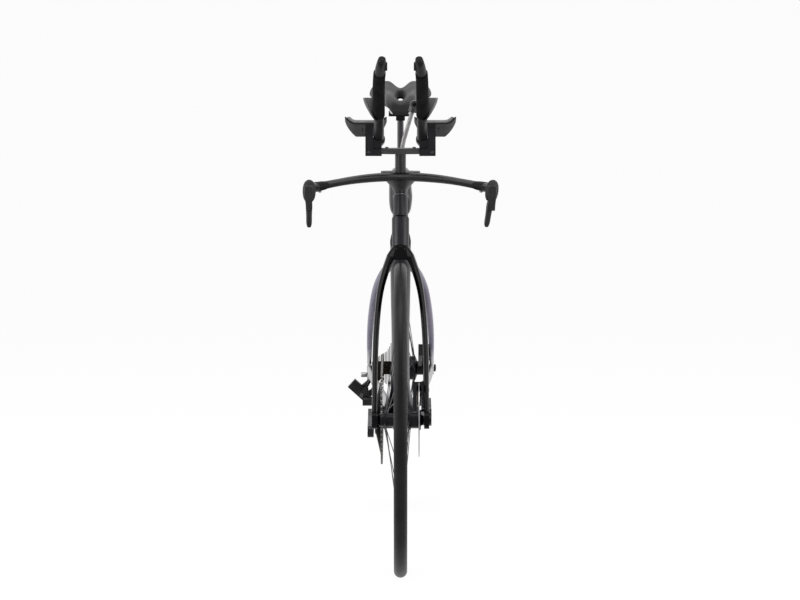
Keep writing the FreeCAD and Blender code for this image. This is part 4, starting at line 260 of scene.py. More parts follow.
def socket_bolts(name, body, finish, seats):
    """Cap screws with a rounded head and a hexagon socket, at (spot, aim, head radius, head height)."""
    verts, faces = [], []
    for spot, aim, radius, height in seats:
        rows = [(radius * across, height * up) for across, up in head_shares]
        turned_rings(rows, head_steps, verts, faces, aimed(spot, aim), corners=3)
    piece = lay_up(name, verts, faces, finish, body, "black_alloy")
    edge = piece.modifiers.new("crisp", "EDGE_SPLIT")
    edge.split_angle = math.radians(38)


def anodised(name, colour, rough, cloud_size=0.02, grain=0.0012, depth=0.00001):
    """Machined alloy, anodised: a metal with fine cloudy gloss and a slight turned grain."""
    finish, tree, shader, place = start_finish(name)
    lighter = tuple(c * 1.35 for c in colour)
    paint(tree, shader, mottle(tree, place, cloud_size), (0.3, colour), (0.75, lighter))
    polish(tree, shader, mottle(tree, place, grain), rough * 0.8, rough * 1.2)
    shader.inputs["Metallic"].default_value = 1.0
    press(tree, shader, (mottle(tree, place, grain / 2, 1.0), depth))
    return finish


black_anodised = anodised("black_anodised", (0.014, 0.014, 0.0155), rough=0.38)
screw_black = anodised("screw_black", (0.040, 0.040, 0.043), rough=0.3)

bottle_bolt_heights, bottle_bolt_head = (0.48, 0.544), (0.0042, 0.0026)
triangle_middle_y = -0.02
bottle_seats = [seat("main_frame", (0, triangle_middle_y, height), (0, 1, 0), bottle_bolt_head)
                for height in bottle_bolt_heights]
socket_bolts("bottle_bolts", "frame", screw_black, bottle_seats)

# Headset and bottom bracket bearings
# Steel cartridge bearings pressed into the head tube and the bracket shell, hidden but for
# their outer faces, which are bright ground steel.


def bare_steel(name, colour, rough, grain=0.0054, drawn=9, depth=0.000012):
    """Ground or stamped steel with a fine directional polish."""
    finish, tree, shader, place = start_finish(name)
    stretch = tree.nodes.new("ShaderNodeMapping")
    stretch.inputs["Scale"].default_value = (1, 1, drawn)
    tree.links.new(place, stretch.inputs["Vector"])
    lines = mottle(tree, stretch.outputs["Vector"], grain, 3.0)
    darker = tuple(c * 0.72 for c in colour)
    paint(tree, shader, lines, (0.35, darker), (0.65, colour))
    polish(tree, shader, lines, rough * 0.8, rough * 1.25)
    shader.inputs["Metallic"].default_value = 1.0
    press(tree, shader, (lines, depth))
    return finish


bearing_steel = bare_steel("bearing_steel", (0.52, 0.52, 0.53), rough=0.25)
dress(bearing_steel, "headset_bearings", "bottom_bracket_bearings")

# Stays
# Seatstays and chainstays are moulded carbon, sprayed violet grey like the frame. The lacquer
# fades to bare silver alloy round the dropouts, where the axle and the derailleur are bolted.
dropout_silver = (0.45, 0.45, 0.46)


def bike_axis(tree, place, axis):
    """How far along an axis of the bike a point of the surface lies."""
    axes = tree.nodes.new("ShaderNodeSeparateXYZ")
    tree.links.new(place, axes.inputs["Vector"])
    return axes.outputs[axis]


def colour_fade(tree, share, first, second):
    """A colour that goes from the first to the second with a share; each is fixed or changes by itself."""
    mix = tree.nodes.new("ShaderNodeMix")
    mix.data_type = "RGBA"
    tree.links.new(share, mix.inputs["Factor"])
    for socket, colour in (("A", first), ("B", second)):
        if isinstance(colour, tuple):
            mix.inputs[socket].default_value = (*colour, 1)
        else:
            tree.links.new(colour, mix.inputs[socket])
    return mix.outputs["Result"]


def faded_stay(name, dark, light, axis, fade_start, fade_stop):
    """The frame's lacquer, going to bare alloy along one axis of the bike."""
    finish = sprayed(name, dark, light, rough=0.34, shine=0.3)
    tree, shader, place = open_up(finish)
    lacquer = shader.inputs["Base Color"].links[0].from_socket
    fade = span(tree, bike_axis(tree, place, axis), 0.0, 1.0, fade_start, fade_stop)
    tree.links.new(colour_fade(tree, fade, lacquer, dropout_silver), shader.inputs["Base Color"])
    tree.links.new(fade, shader.inputs["Metallic"])
    return finish


seatstay_satin = faded_stay(
    "seatstay_satin", (0.085, 0.078, 0.108), (0.150, 0.140, 0.182), axis="Z", fade_start=0.395, fade_stop=0.36)
chainstay_satin = faded_stay(
    "chainstay_satin", (0.020, 0.018, 0.024), (0.050, 0.046, 0.060), axis="Y", fade_start=0.17, fade_stop=0.24)
dress(seatstay_satin, "seatstays")
dress(chainstay_satin, "chainstays")

# Reservoir cover and drinking hose
# A blow-moulded drink reservoir sits behind the stem under a smooth black cover. A soft clear-grey
# hose stands up out of a port in its top, pushed over a barb, and ends in a moulded bite valve.


def moulded(name, dark, light, rough, shine, cloud_size=0.03, grain=0.0006, depth=0.00004):
    """Injection-moulded plastic or rubber: fine spark-eroded grain over a cloudy colour."""
    finish, tree, shader, place = start_finish(name)
    paint(tree, shader, mottle(tree, place, cloud_size), (0.3, dark), (0.7, light))
    polish(tree, shader, mottle(tree, place, grain * 4), rough * 0.9, rough * 1.1)
    shader.inputs["Specular IOR Level"].default_value = shine
    press(tree, shader, (mottle(tree, place, grain, 1.0), depth))
    return finish


cover_plastic = moulded("cover_plastic", (0.006, 0.0055, 0.007), (0.012, 0.0115, 0.014), rough=0.3, shine=0.3)
dress(cover_plastic, "reservoir_cover")

hose_points = [(0, -0.1557, 0.868), (0.00174, -0.1557, 0.9076), (0.01598, -0.1585, 0.9571),
               (0.029, -0.1637, 1.0)]
hose_diameter = 0.0095
hose_line = bpy.data.curves.new("drinking_hose_line", "CURVE")
hose_line.dimensions = "3D"
hose_run = hose_line.splines.new("NURBS")
hose_run.points.add(len(hose_points) - 1)
for mark, spot in zip(hose_run.points, hose_points):
    mark.co = (*spot, 1)
hose_run.order_u = 3
hose_run.use_endpoint_u = True
hose_run.resolution_u = 24
hose_line.bevel_depth = hose_diameter / 2
hose_line.bevel_resolution = 8
hose_line.use_fill_caps = True
hose_grey, hose_tree, hose_shader, hose_place = start_finish("hose_grey")
hose_cloud = mottle(hose_tree, hose_place, 0.012)
paint(hose_tree, hose_shader, hose_cloud, (0.3, (0.16, 0.152, 0.155)), (0.7, (0.24, 0.232, 0.236)))
polish(hose_tree, hose_shader, hose_cloud, 0.18, 0.3)
hose_shader.inputs["Transmission Weight"].default_value = 0.15
hose_shader.inputs["IOR"].default_value = 1.42
press(hose_tree, hose_shader, (mottle(hose_tree, hose_place, 0.004), 0.00004))
hose_line.materials.append(hose_grey)
drink_hose = bpy.data.objects.new("drink_hose", hose_line)
bpy.context.scene.collection.objects.link(drink_hose)
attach(drink_hose, "frame")
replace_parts(drink_hose, "drinking_hose")
bite_valve_grey = moulded("bite_valve_grey", (0.018, 0.018, 0.019), (0.038, 0.038, 0.04), rough=0.35,
                          shine=0.25)
dress(bite_valve_grey, "hose_mouthpiece")

lid_half_width, lid_half_length, lid_steps = 0.0135, 0.022, 40
above_lid = (0, -0.085, 1.0)
# From the sunk edge over the rim to the middle: share of the lid's size and height
lid_rows = ((1.0, -0.002), (1.0, 0.0012), (0.95, 0.0021), (0.86, 0.0026), (0.8, 0.0019), (0.2, 0.0022))
lid_place = aimed(*touch("reservoir_cover", above_lid, (0, 0, -1)))
lid_verts = []
for share, height in lid_rows:
    for angle in round_angles(lid_steps):
        lid_verts.append(lid_place @ Vector((lid_half_width * share * math.cos(angle),
                                             lid_half_length * share * math.sin(angle), height)))
filler_rubber = moulded("filler_rubber", (0.008, 0.008, 0.008), (0.016, 0.016, 0.016), rough=0.7, shine=0.2)
lid_faces = wrap(len(lid_rows), lid_steps, end=True)
lay_up("filler_lid", lid_verts, lid_faces, filler_rubber, "frame", "black_plastic")

# Seatpost wedge
# An alloy wedge in the frame grips the flat back of the post. A screw from above draws it tight, and
# a rubber seal stretched over the tube's lip keeps the water out.
dress(black_anodised, "seatpost_wedge")

# Along a band with rounded edges: share of its length and share of its thickness
band_shares = ((0, -0.4), (0.06, 0.6), (0.16, 1), (0.5, 1), (0.84, 1), (0.94, 0.6), (1, -0.4))


def sleeve(name, node, low, high, proud, finish, body, slot, reach, steps):
    """A thin band on a tube's skin, from one centre of the tube to another, looked for from that reach out."""
    low, high = Vector(low), Vector(high)
    turn = aimed(low, high - low).to_3x3()
    verts = []
    for at, share in band_shares:
        centre = low.lerp(high, at)
        for angle in round_angles(steps):
            out = turn @ Vector((math.cos(angle), math.sin(angle), 0))
            spot, _ = touch(node, centre + out * reach, -out)
            verts.append(spot + out * (proud * share))
    lay_up(name, verts, wrap(len(band_shares), steps), finish, body, slot)


seal_rubber = moulded("seal_rubber", (0.004, 0.004, 0.004), (0.008, 0.008, 0.008), rough=0.6, shine=0.1)
seal_low, seal_high, seal_thickness = (0, 0.2203, 0.791), (0, 0.222, 0.7985), 0.0009
sleeve("seat_seal", "main_frame", seal_low, seal_high, seal_thickness, seal_rubber, "frame", "black_plastic",
       reach=0.07, steps=48)

# Wheels
# Deep carbon rims with slick tubeless tyres, laced with black steel spokes to turned alloy hubs.
# Brass nipples hold the spokes, a long valve stands in each rim, and the tyre has a fine side rib.
front_axle, rear_axle = (0, -0.5, 0.34), (0, 0.5, 0.34)


def tyre_rubber(name, rib_scale=170, rib_start=0.0066, rib_stop=0.0078):
    """Slick rubber with fine ribs on its shoulders and a dull bloom."""
    finish, tree, shader, place = start_finish(name)
    ribs = tree.nodes.new("ShaderNodeTexWave")
    ribs.bands_direction = "X"
    ribs.inputs["Scale"].default_value = rib_scale
    tree.links.new(place, ribs.inputs["Vector"])
    off_centre = worked(tree, "ABSOLUTE", bike_axis(tree, place, "X"))
    shoulder = span(tree, off_centre, 0.0, 1.0, rib_start, rib_stop)
    rib_height = worked(tree, "MULTIPLY", shoulder, ribs.outputs["Fac"])
    bloom = mottle(tree, place, 0.05)
    paint(tree, shader, bloom, (0.3, (0.0045, 0.0045, 0.0047)), (0.72, (0.009, 0.009, 0.0094)))
    polish(tree, shader, mottle(tree, place, 0.006), 0.34, 0.44)
    shader.inputs["Specular IOR Level"].default_value = 0.1
    press(tree, shader, (rib_height, 0.0003), (mottle(tree, place, 0.0008), 0.00006))
    return finish


dress(tyre_rubber("front_tyre_rubber"), "front_tyre")
dress(tyre_rubber("rear_tyre_rubber"), "rear_tyre")


def woven(name, dark, light, rough, shine, tow=0.0022, tow_share=0.18, cloud_size=0.05):
    """Carbon cloth under clear lacquer: a twill that shows only as a faint change of gloss."""
    finish, tree, shader, place = start_finish(name)
    lean = tree.nodes.new("ShaderNodeMapping")
    lean.inputs["Rotation"].default_value = (math.radians(45), math.radians(45), 0)
    tree.links.new(place, lean.inputs["Vector"])
    check = tree.nodes.new("ShaderNodeTexChecker")
    check.inputs["Scale"].default_value = 1 / tow
    tree.links.new(lean.outputs["Vector"], check.inputs["Vector"])
    tone = worked(tree, "MULTIPLY_ADD", check.outputs["Fac"], tow_share, mottle(tree, place, cloud_size))
    paint(tree, shader, tone, (0.35, dark), (0.8, light))
    polish(tree, shader, tone, rough * 0.85, rough * 1.15)
    shader.inputs["Specular IOR Level"].default_value = shine
    press(tree, shader, (mottle(tree, place, 0.004, 1.0), 0.00003))
    return finish


rim_lacquer = woven("rim_lacquer", (0.005, 0.005, 0.0055), (0.011, 0.011, 0.012), rough=0.3, shine=0.14,
                    tow=0.003)
dress(rim_lacquer, "front_rim", "rear_rim")
dress(bare_steel("spoke_black", (0.050, 0.050, 0.053), rough=0.3), "front_spokes", "rear_spokes")
dress(black_anodised, "front_hub", "rear_hub")

rim_foot_radius = 0.256
spoke_lean, spoke_crossing, nipple_steps = math.radians(44), 0.0014, 12
nipple_brass = anodised("nipple_brass", (0.16, 0.155, 0.15), rough=0.3)
nipple_rows = [(0.0026, -0.003), (0.0026, 0.0012), (0.0021, 0.002), (0.0019, 0.0024), (0.0019, 0.0105),
               (0.0014, 0.0118), (0.0010, 0.012)]


def nipples(name, body, axle, count, right_flange, left_flange, flange_radius):
    """A turned nipple with a collar over the rim's end of each spoke, aimed along the spoke."""
    verts, faces = [], []
    for number, angle in enumerate(round_angles(count)):
        side = -right_flange if number % 2 else left_flange
        lean = 1 if number // 2 % 2 else -1
        hub_angle = angle + lean * spoke_lean
        stop = Vector((0, rim_foot_radius * math.cos(angle), rim_foot_radius * math.sin(angle)))
        start = Vector((side + lean * spoke_crossing, flange_radius * math.cos(hub_angle),
                        flange_radius * math.sin(hub_angle)))
        turned_rings(nipple_rows, nipple_steps, verts, faces, aimed(Vector(axle) + stop, start - stop))
    lay_up(name, verts, faces, nipple_brass, body, "spoke_steel")


nipples("front_nipples", "front_wheel", front_axle, count=20, right_flange=0.033, left_flange=0.020,
        flange_radius=0.018)
nipples("rear_nipples", "rear_wheel", rear_axle, count=24, right_flange=0.018, left_flange=0.034,
        flange_radius=0.026)

valve_pitch, valve_threads, valve_steps = 0.0012, 14, 20
valve_rows = [(0.0048, -0.004), (0.0048, 0.0012), (0.0044, 0.0026), (0.0031, 0.0028)]
for thread in range(valve_threads):
    valve_rows += [(0.0031, 0.003 + thread * valve_pitch), (0.0028, 0.0036 + thread * valve_pitch)]
valve_rows += [(0.0029, 0.0202), (0.0021, 0.021), (0.0021, 0.0225), (0.0033, 0.023), (0.0033, 0.0262),
               (0.0028, 0.0268), (0.0012, 0.027), (0.0012, 0.0292), (0.0006, 0.0296)]


def valve(name, body, axle, angle):
    """A long threaded stem with its lock ring at the rim and a core nut at its end."""
    verts, faces = [], []
    out = Vector((0, math.cos(angle), math.sin(angle)))
    turned_rings(valve_rows, valve_steps, verts, faces, aimed(Vector(axle) + out * rim_foot_radius, -out))
    lay_up(name, verts, faces, screw_black, body, "black_alloy")


valve("front_valve", "front_wheel", front_axle, angle=math.radians(81))
valve("rear_valve", "rear_wheel", rear_axle, angle=math.radians(97.5))

# Brake rotors
# Laser-cut stainless discs, ground on the brake track. Each slides on the hub's splines and is held
# there by a notched lock ring of blackened alloy.


def turned_grain(tree, place, axle, scale, waver):
    """Fine rings of turning or grinding round an axle, and the place as seen from that axle."""
    centre = tree.nodes.new("ShaderNodeMapping")
    centre.inputs["Location"].default_value = (0, -axle[1], -axle[2])
    tree.links.new(place, centre.inputs["Vector"])
    rings = tree.nodes.new("ShaderNodeTexWave")
    rings.wave_type = "RINGS"
    rings.rings_direction = "X"
    rings.inputs["Scale"].default_value = scale
    rings.inputs["Distortion"].default_value = waver
    tree.links.new(centre.outputs["Vector"], rings.inputs["Vector"])
    return rings.outputs["Fac"], centre.outputs["Vector"]


def ground_disc(name, axle):
    """Stainless steel with rings of fine grinding round the axle."""
    finish, tree, shader, place = start_finish(name)
    rings, _ = turned_grain(tree, place, axle, scale=260, waver=1.5)
    paint(tree, shader, rings, (0.2, (0.30, 0.30, 0.31)), (0.8, (0.50, 0.50, 0.51)))
    polish(tree, shader, rings, 0.24, 0.4)
    shader.inputs["Metallic"].default_value = 1.0
    press(tree, shader, (rings, 0.00002))
    return finish


dress(ground_disc("front_disc_steel", front_axle), "front_rotor")
dress(ground_disc("rear_disc_steel", rear_axle), "rear_rotor")

lock_ring_rows = [(0.0147, 0.0), (0.0215, 0.0), (0.0218, 0.0018), (0.0205, 0.0026), (0.0176, 0.0028),
                  (0.0172, 0.0012), (0.0147, 0.001)]
lock_ring_steps, notch_depth = 64, 0.0014


def hollow_ring(rows, steps, verts, faces, place, notched=()):
    """Adds a turned ring to a mesh: a closed loop of (radius, height) rows, some of them notched."""
    first = len(verts)
    for row, (radius, height) in enumerate(rows):
        for step, angle in enumerate(round_angles(steps)):
            reach = radius - (notch_depth if row in notched and step % 4 < 2 else 0.0)
            verts.append(place @ Vector((reach * math.cos(angle), reach * math.sin(angle), height)))
    faces += wrap(len(rows), steps, first, loop=True)


def beside(axle, x):
    """The point of an axle that lies that far to the left of the bike's middle."""
    return (x, axle[1], axle[2])


def lock_ring(name, body, spot, aim, finish):
    """A notched ring screwed on outside a rotor or the last sprocket."""
    verts, faces = [], []
    hollow_ring(lock_ring_rows, lock_ring_steps, verts, faces, aimed(spot, aim), notched=(3, 4))
    lay_up(name, verts, faces, finish, body, "black_alloy", smooth=False)


lock_ring("front_lock_ring", "front_wheel", beside(front_axle, 0.0411), (1, 0, 0), black_anodised)
lock_ring("rear_lock_ring", "rear_wheel", beside(rear_axle, 0.0571), (1, 0, 0), black_anodised)

# Thru axles
# Hollow alloy axles, turned and black anodised, pushed through hub and dropouts from the left and
# screwed in on the right. A key fits the hexagon in the head.
dress(black_anodised, "front_thru_axle", "rear_thru_axle")
axle_head = (0.0072, 0.0016)
for name, body, spot in (("front_axle_socket", "fork", beside(front_axle, 0.0655)),
                         ("rear_axle_socket", "frame", beside(rear_axle, 0.0845))):
    socket_bolts(name, body, screw_black, [(spot, (1, 0, 0), *axle_head)])

# Fork
# A moulded carbon fork with deep flat blades and a narrow crown. Its steerer runs up through the head
# tube, and it is lacquered to a deep gloss black.
fork_gloss = sprayed("fork_gloss", (0.0018, 0.0018, 0.0021), (0.0036, 0.0036, 0.0044), rough=0.2, shine=0.03,
                     coat=0.05, coat_rough=0.06)
dress(fork_gloss, "fork")

# Brake calipers
# Two-piece machined calipers, black anodised, bolted to the flat seats on the left blade and stay.
# The linings are sintered blocks on steel plates.


def broken_edges(*names, width, segments):
    """Rounds the sharp edges of machined solids."""
    for name in names:
        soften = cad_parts[name].modifiers.new("broken_edges", "BEVEL")
        soften.width = width
        soften.segments = segments
        soften.limit_method = "ANGLE"
        soften.angle_limit = math.radians(40)


caliper_black = anodised("caliper_black", (0.020, 0.020, 0.022), rough=0.32)
dress(caliper_black, "front_caliper", "rear_caliper")
broken_edges("front_caliper", "rear_caliper", width=0.0016, segments=3)
lining = moulded("lining", (0.09, 0.075, 0.06), (0.16, 0.135, 0.11), rough=0.85, shine=0.2, grain=0.0012,
                 depth=0.0002)
dress(lining, "front_brake_pads", "rear_brake_pads")
caliper_bolt_head, caliper_bolt_shares = (0.0045, 0.003), (0.26, 0.74)
left_of_bike = 0.3
upright, lengthwise = 2, 1
for name, body, row in (("front_caliper", "fork", upright), ("rear_caliper", "frame", lengthwise)):
    low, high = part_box(name)
    seats = []
    for share in caliper_bolt_shares:
        start = [left_of_bike, (low[1] + high[1]) / 2, (low[2] + high[2]) / 2]
        start[row] = low[row] + (high[row] - low[row]) * share
        seats.append(seat(name, start, (-1, 0, 0), caliper_bolt_head))
    socket_bolts(name + "_bolts", body, screw_black, seats)

# Base bar and its spacer
# A one-piece moulded wing bar clamped on the steerer over a slim spacer. Both are satin carbon with
# the weave just showing, and a rubber band covers each joint with a brake hood.
bar_carbon = woven("bar_carbon", (0.0055, 0.0055, 0.006), (0.012, 0.012, 0.013), rough=0.36, shine=0.2)
spacer_satin = sprayed("spacer_satin", (0.004, 0.0038, 0.005), (0.0085, 0.008, 0.0105), rough=0.36, shine=0.14)
dress(bar_carbon, "base_bar")
dress(spacer_satin, "headset_spacer")
# Painted highlight: a thin light alloy ring stands proud at the spacer's top, where the bar meets it, for the
# bright line of light along that joint's edge. The sleeve screws below take the same light alloy as real
# metal.
highlight_and_screw_alloy = anodised("highlight_and_screw_alloy", (0.16, 0.16, 0.165), rough=0.28)
seam_highlight_low, seam_highlight_high, seam_highlight_thickness = (0, -0.30485, 0.8093), (0, -0.30447, 0.8105), 0.0004
sleeve("spacer_seam_highlight", "headset_spacer", seam_highlight_low, seam_highlight_high, seam_highlight_thickness, highlight_and_screw_alloy, "fork", "black_alloy",
       reach=0.07, steps=48)
bar_sleeve_thickness, sleeve_screw_head, sleeve_screw_lift = 0.0011, (0.0036, 0.0034), 0.0008
sleeve_seats = []
for name, side in (("bar_sleeve_right", -1), ("bar_sleeve_left", 1)):
    inner, outer = (side * 0.1675, -0.3442, 0.8384), (side * 0.1853, -0.3660, 0.8357)
    sleeve(name, "base_bar", inner, outer, bar_sleeve_thickness, seal_rubber, "fork", "black_plastic",
           reach=0.03, steps=32)
    below_sleeve = (side * 0.1765, -0.3551, 0.79)
    sleeve_seats.append(seat("base_bar", below_sleeve, (0, 0, 1), sleeve_screw_head, sleeve_screw_lift))
socket_bolts("sleeve_screws", "fork", highlight_and_screw_alloy, sleeve_seats)

# Riser, bridge and arm brackets
# A riser post bolts to the bar and carries a flat bridge. Machined brackets on its ends hold the
# extensions in split collars and carry the arm cups.
riser_satin = woven("riser_satin", (0.006, 0.006, 0.0065), (0.014, 0.014, 0.015), rough=0.34, shine=0.13)
dress(riser_satin, "riser_post")
dress(anodised("bridge_black", (0.017, 0.017, 0.0185), rough=0.34), "arm_brackets")
# Painted light: the bridge is the same black alloy as the brackets, made lighter for the light on its top
# face.
dress(anodised("bridge_black_painted_light", (0.045, 0.045, 0.047), rough=0.36), "extension_bridge")
broken_edges("extension_bridge", "arm_brackets", width=0.0015, segments=3)
bridge_bolt_rows, bridge_bolt_head, bracket_bolt_head = (-0.329, -0.307), (0.0038, 0.0026), (0.0038, 0.0024)
clamp_seats = []
for side in (-1, 1):
    for y in bridge_bolt_rows:
        above_bridge = (side * 0.03, y, 1.1)
        clamp_seats.append(seat("extension_bridge", above_bridge, (0, 0, -1), bridge_bolt_head))
    before_bracket = (side * 0.069, -0.6, 0.91)
    clamp_seats.append(seat("arm_brackets", before_bracket, (0, 1, 0), bracket_bolt_head))
socket_bolts("bridge_bolts", "fork", screw_black, clamp_seats)

# Arm cups
# Thin troughs of moulded carbon for the forearms, leant back a little. A row of small screws holds
# each one from below.
cup_satin = woven("cup_satin", (0.008, 0.008, 0.0085), (0.018, 0.018, 0.0185), rough=0.4, shine=0.03)
dress(cup_satin, "arm_cups")


def cup_place(side):
    """The frame of a cup: its trough runs along Y and opens along Z."""
    return Matrix.Translation((side * 0.076, -0.283, 0.955)) @ Matrix.Rotation(math.radians(-17), 4, "X")


cup_screw_x, cup_screw_rows = 0.0085, (-0.017, -0.004, 0.009)
cup_screw_head, below_cup = (0.0021, 0.0012), -0.06
cup_seats = []
for side in (-1, 1):
    up = cup_place(side).to_3x3() @ Vector((0, 0, 1))
    for y in cup_screw_rows:
        start = cup_place(side) @ Vector((side * cup_screw_x, y, below_cup))
        cup_seats.append(seat("arm_cups", start, up, cup_screw_head))
socket_bolts("cup_screws", "fork", screw_black, cup_seats)

# Arm pads
# Closed-cell foam pads, cut to the trough of the cup and held by hook tape. Their grey
# covers are stretched over the rounded edges and show the cut foam along the rim.


def cells(tree, place, scale):
    """Small closed cells, as in foam or grained skin."""
    field = tree.nodes.new("ShaderNodeTexVoronoi")
    field.inputs["Scale"].default_value = scale
    tree.links.new(place, field.inputs["Vector"])
    return field.outputs["Distance"]


pad_grey, pad_tree, pad_shader, pad_place = start_finish("pad_grey")
pad_cells = cells(pad_tree, pad_place, 900)
pad_cloud = mottle(pad_tree, pad_place, 0.02)
paint(pad_tree, pad_shader, pad_cloud, (0.3, (0.10, 0.10, 0.101)), (0.7, (0.15, 0.15, 0.152)))
polish(pad_tree, pad_shader, pad_cells, 0.75, 0.95, 0.0, 0.6)
pad_shader.inputs["Specular IOR Level"].default_value = 0.15
pad_shader.inputs["Sheen Weight"].default_value = 0.1
press(pad_tree, pad_shader, (pad_cells, 0.0002), (mottle(pad_tree, pad_place, 0.006), 0.0004))


def settled(form):
    """The points and faces that a rough form has after its modifiers; the form is put away."""
    made = bpy.data.meshes.new_from_object(form.evaluated_get(bpy.context.evaluated_depsgraph_get()))
    bpy.data.objects.remove(form)
    return [vert.co for vert in made.vertices], [tuple(face.vertices) for face in made.polygons]


def rounded_foam(name, verts, faces, cell, rounds, finish, body, slot):
    """Closes a lofted form into one soft skin: fine remesh, then rounded by smoothing."""
    rough = rough_form(name + "_rough", verts, faces)
    knit = rough.modifiers.new("knit", "REMESH")
    knit.mode = "VOXEL"
    knit.voxel_size = cell
    ease = rough.modifiers.new("ease", "SMOOTH")
    ease.factor = 0.5
    ease.iterations = rounds
    return lay_up(name, *settled(rough), finish, body, slot)


pad_half_length, pad_depth = 0.054, 0.009
pad_floor, pad_lip, pad_points = 0.0033, 0.0427, 16
bend_start, bend_radius = 0.0207, 0.0254
narrowing_start, narrowing_stop, narrow_lip = -0.0134, 0.056, 0.0201
pad_cell, pad_rounds = 0.0016, 5
round_share, end_depth_share, full_depth_share, lip_depth_share, flat_share = 0.88, 0.5, 0.98, 0.9, 0.25
pad_runs = [-1, -0.985, -0.95, -0.9] + [i / 10 for i in range(-8, 9)] + [0.9, 0.95, 0.985, 1]


def pad_outline(share, half):
    """The pad's section: along the trough underneath, and back over its top, square to the trough."""
    lower, upper = [], []
    for i in range(pad_points):
        x = half * (flat_share + (1 - flat_share) * i / (pad_points - 1))
        lean = max(0.0, x - bend_start) / bend_radius
        rise = math.sqrt(1 - lean * lean)
        z = pad_floor + bend_radius * (1 - rise)
        thick = pad_depth * share * (1.0 if i < pad_points - 1 else lip_depth_share)
        lower.append((x, z))
        upper.append((x - lean * thick, z + rise * thick))
    right = lower + upper[::-1]
    return right + [(-x, z) for x, z in reversed(right)]


def foam_pad(name, side):
    """One pad in its cup: thinner at its rounded ends and narrower towards the elbow."""
    verts = []
    for run in pad_runs:
        edge = max(0.0, (abs(run) - round_share) / (1 - round_share))
        fullness = math.sqrt(max(0.0, 1 - edge * edge))
        share = end_depth_share + (full_depth_share - end_depth_share) * fullness
        y = pad_half_length * run
        narrowing = max(0.0, (y - narrowing_start) / (narrowing_stop - narrowing_start))
        for x, z in pad_outline(share, pad_lip + (narrow_lip - pad_lip) * narrowing):
            verts.append(cup_place(side) @ Vector((x, y, z)))
    faces = wrap(len(pad_runs), len(verts) // len(pad_runs), start=True, end=True)
    piece = rounded_foam(name, verts, faces, pad_cell, pad_rounds, pad_grey, "fork", "pad_foam")
    return piece


foam_pad("arm_pad_left", 1)
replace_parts(foam_pad("arm_pad_right", -1), "arm_pads")

# Extensions, grips and shift buttons
# Bent carbon extensions with a scooped wing for each forearm, foam sleeves where the hands close,
# and domed tips with a small rubber shift paddle on the inner side.
extension_satin = woven("extension_satin", (0.008, 0.008, 0.0085), (0.018, 0.018, 0.019), rough=0.34,
                        shine=0.12)
# Painted highlight: the extensions' colour turns light grey towards the outer edges of the wings, for the
# light that falls on them.
wing_start, wing_stop, wing_painted_highlight = 0.057, 0.068, (0.15, 0.15, 0.153)
wing_tree, wing_shader, wing_place = open_up(extension_satin)
wing_paint = wing_shader.inputs["Base Color"]
wing_side = worked(wing_tree, "ABSOLUTE", bike_axis(wing_tree, wing_place, "X"))
wing_highlight_share = span(wing_tree, wing_side, 0.0, 1.0, wing_start, wing_stop)
wing_cloth = wing_paint.links[0].from_socket
wing_tree.links.new(colour_fade(wing_tree, wing_highlight_share, wing_cloth, wing_painted_highlight), wing_paint)
dress(extension_satin, "extensions")
grip_foam = moulded("grip_foam", (0.0035, 0.0035, 0.0035), (0.007, 0.007, 0.007), rough=0.85, shine=0.05,
                    grain=0.0011, depth=0.0003)
dress(grip_foam, "grips")
button_rubber = moulded("button_rubber", (0.005, 0.005, 0.005), (0.010, 0.010, 0.010), rough=0.6, shine=0.1)
dress(button_rubber, "shift_button_right", "shift_button_left")

tip_along, tip_across = Vector((0, -0.785, 0.62)), Vector((0, 0.62, 0.785))
boot_steps, boot_hole, boot_long, boot_wide = 40, 0.0066, 0.0094, 0.0014
# From the boot's outer edge to its hole: share of its breadth and height over the tip
boot_rows = ((1, -0.0004), (0.95, 0.0004), (0.8, 0.0013), (0.55, 0.0023), (0.3, 0.0029), (0.12, 0.003),
             (0.02, 0.0027), (0, -0.0004))


def button_boot(name, node, side):
    """A soft raised rim moulded round a button, sinking into the inner side of the tip."""
    low, high = (Vector(corner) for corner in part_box(node))
    centre = (low + high) / 2
    verts = []
    for share, lift in boot_rows:
        for angle in round_angles(boot_steps):
            flat = (centre + tip_along * ((boot_hole + boot_long * share) * math.cos(angle))
                    + tip_across * ((boot_hole + boot_wide * share) * math.sin(angle)))
            spot, _ = touch("extensions", (0, flat.y, flat.z), (side, 0, 0))
            verts.append(spot - Vector((side * lift, 0, 0)))
    lay_up(name, verts, wrap(len(boot_rows), boot_steps), seal_rubber, "fork", "black_plastic")


button_boot("button_boot_right", "shift_button_right", -1)
button_boot("button_boot_left", "shift_button_left", 1)

cap_steps, cap_half_width, cap_half_height, beyond_tip = 32, 0.0086, 0.0098, 0.06
# From the cap's edge to its middle: share of its size and height over the tip
cap_rows = ((1, -0.0005), (0.97, 0.0005), (0.9, 0.0008), (0.7, 0.0008), (0.45, 0.0008), (0.2, 0.0008),
            (0.03, 0.0008))


def tip_cap(name, side):
    """A domed rubber plug over the end of an extension."""
    centre = Vector((side * 0.0412, -0.5966, 1.1155))
    verts = []
    for share, lift in cap_rows:
        for angle in round_angles(cap_steps):
            flat = (centre + Vector((cap_half_width * share * math.cos(angle), 0, 0))
                    + tip_across * (cap_half_height * share * math.sin(angle)))
            spot, _ = touch("extensions", flat + tip_along * beyond_tip, -tip_along)
            verts.append(spot + tip_along * lift)
    lay_up(name, verts, wrap(len(cap_rows), cap_steps, end=True), seal_rubber, "fork", "black_plastic")


tip_cap("tip_cap_right", -1)
tip_cap("tip_cap_left", 1)

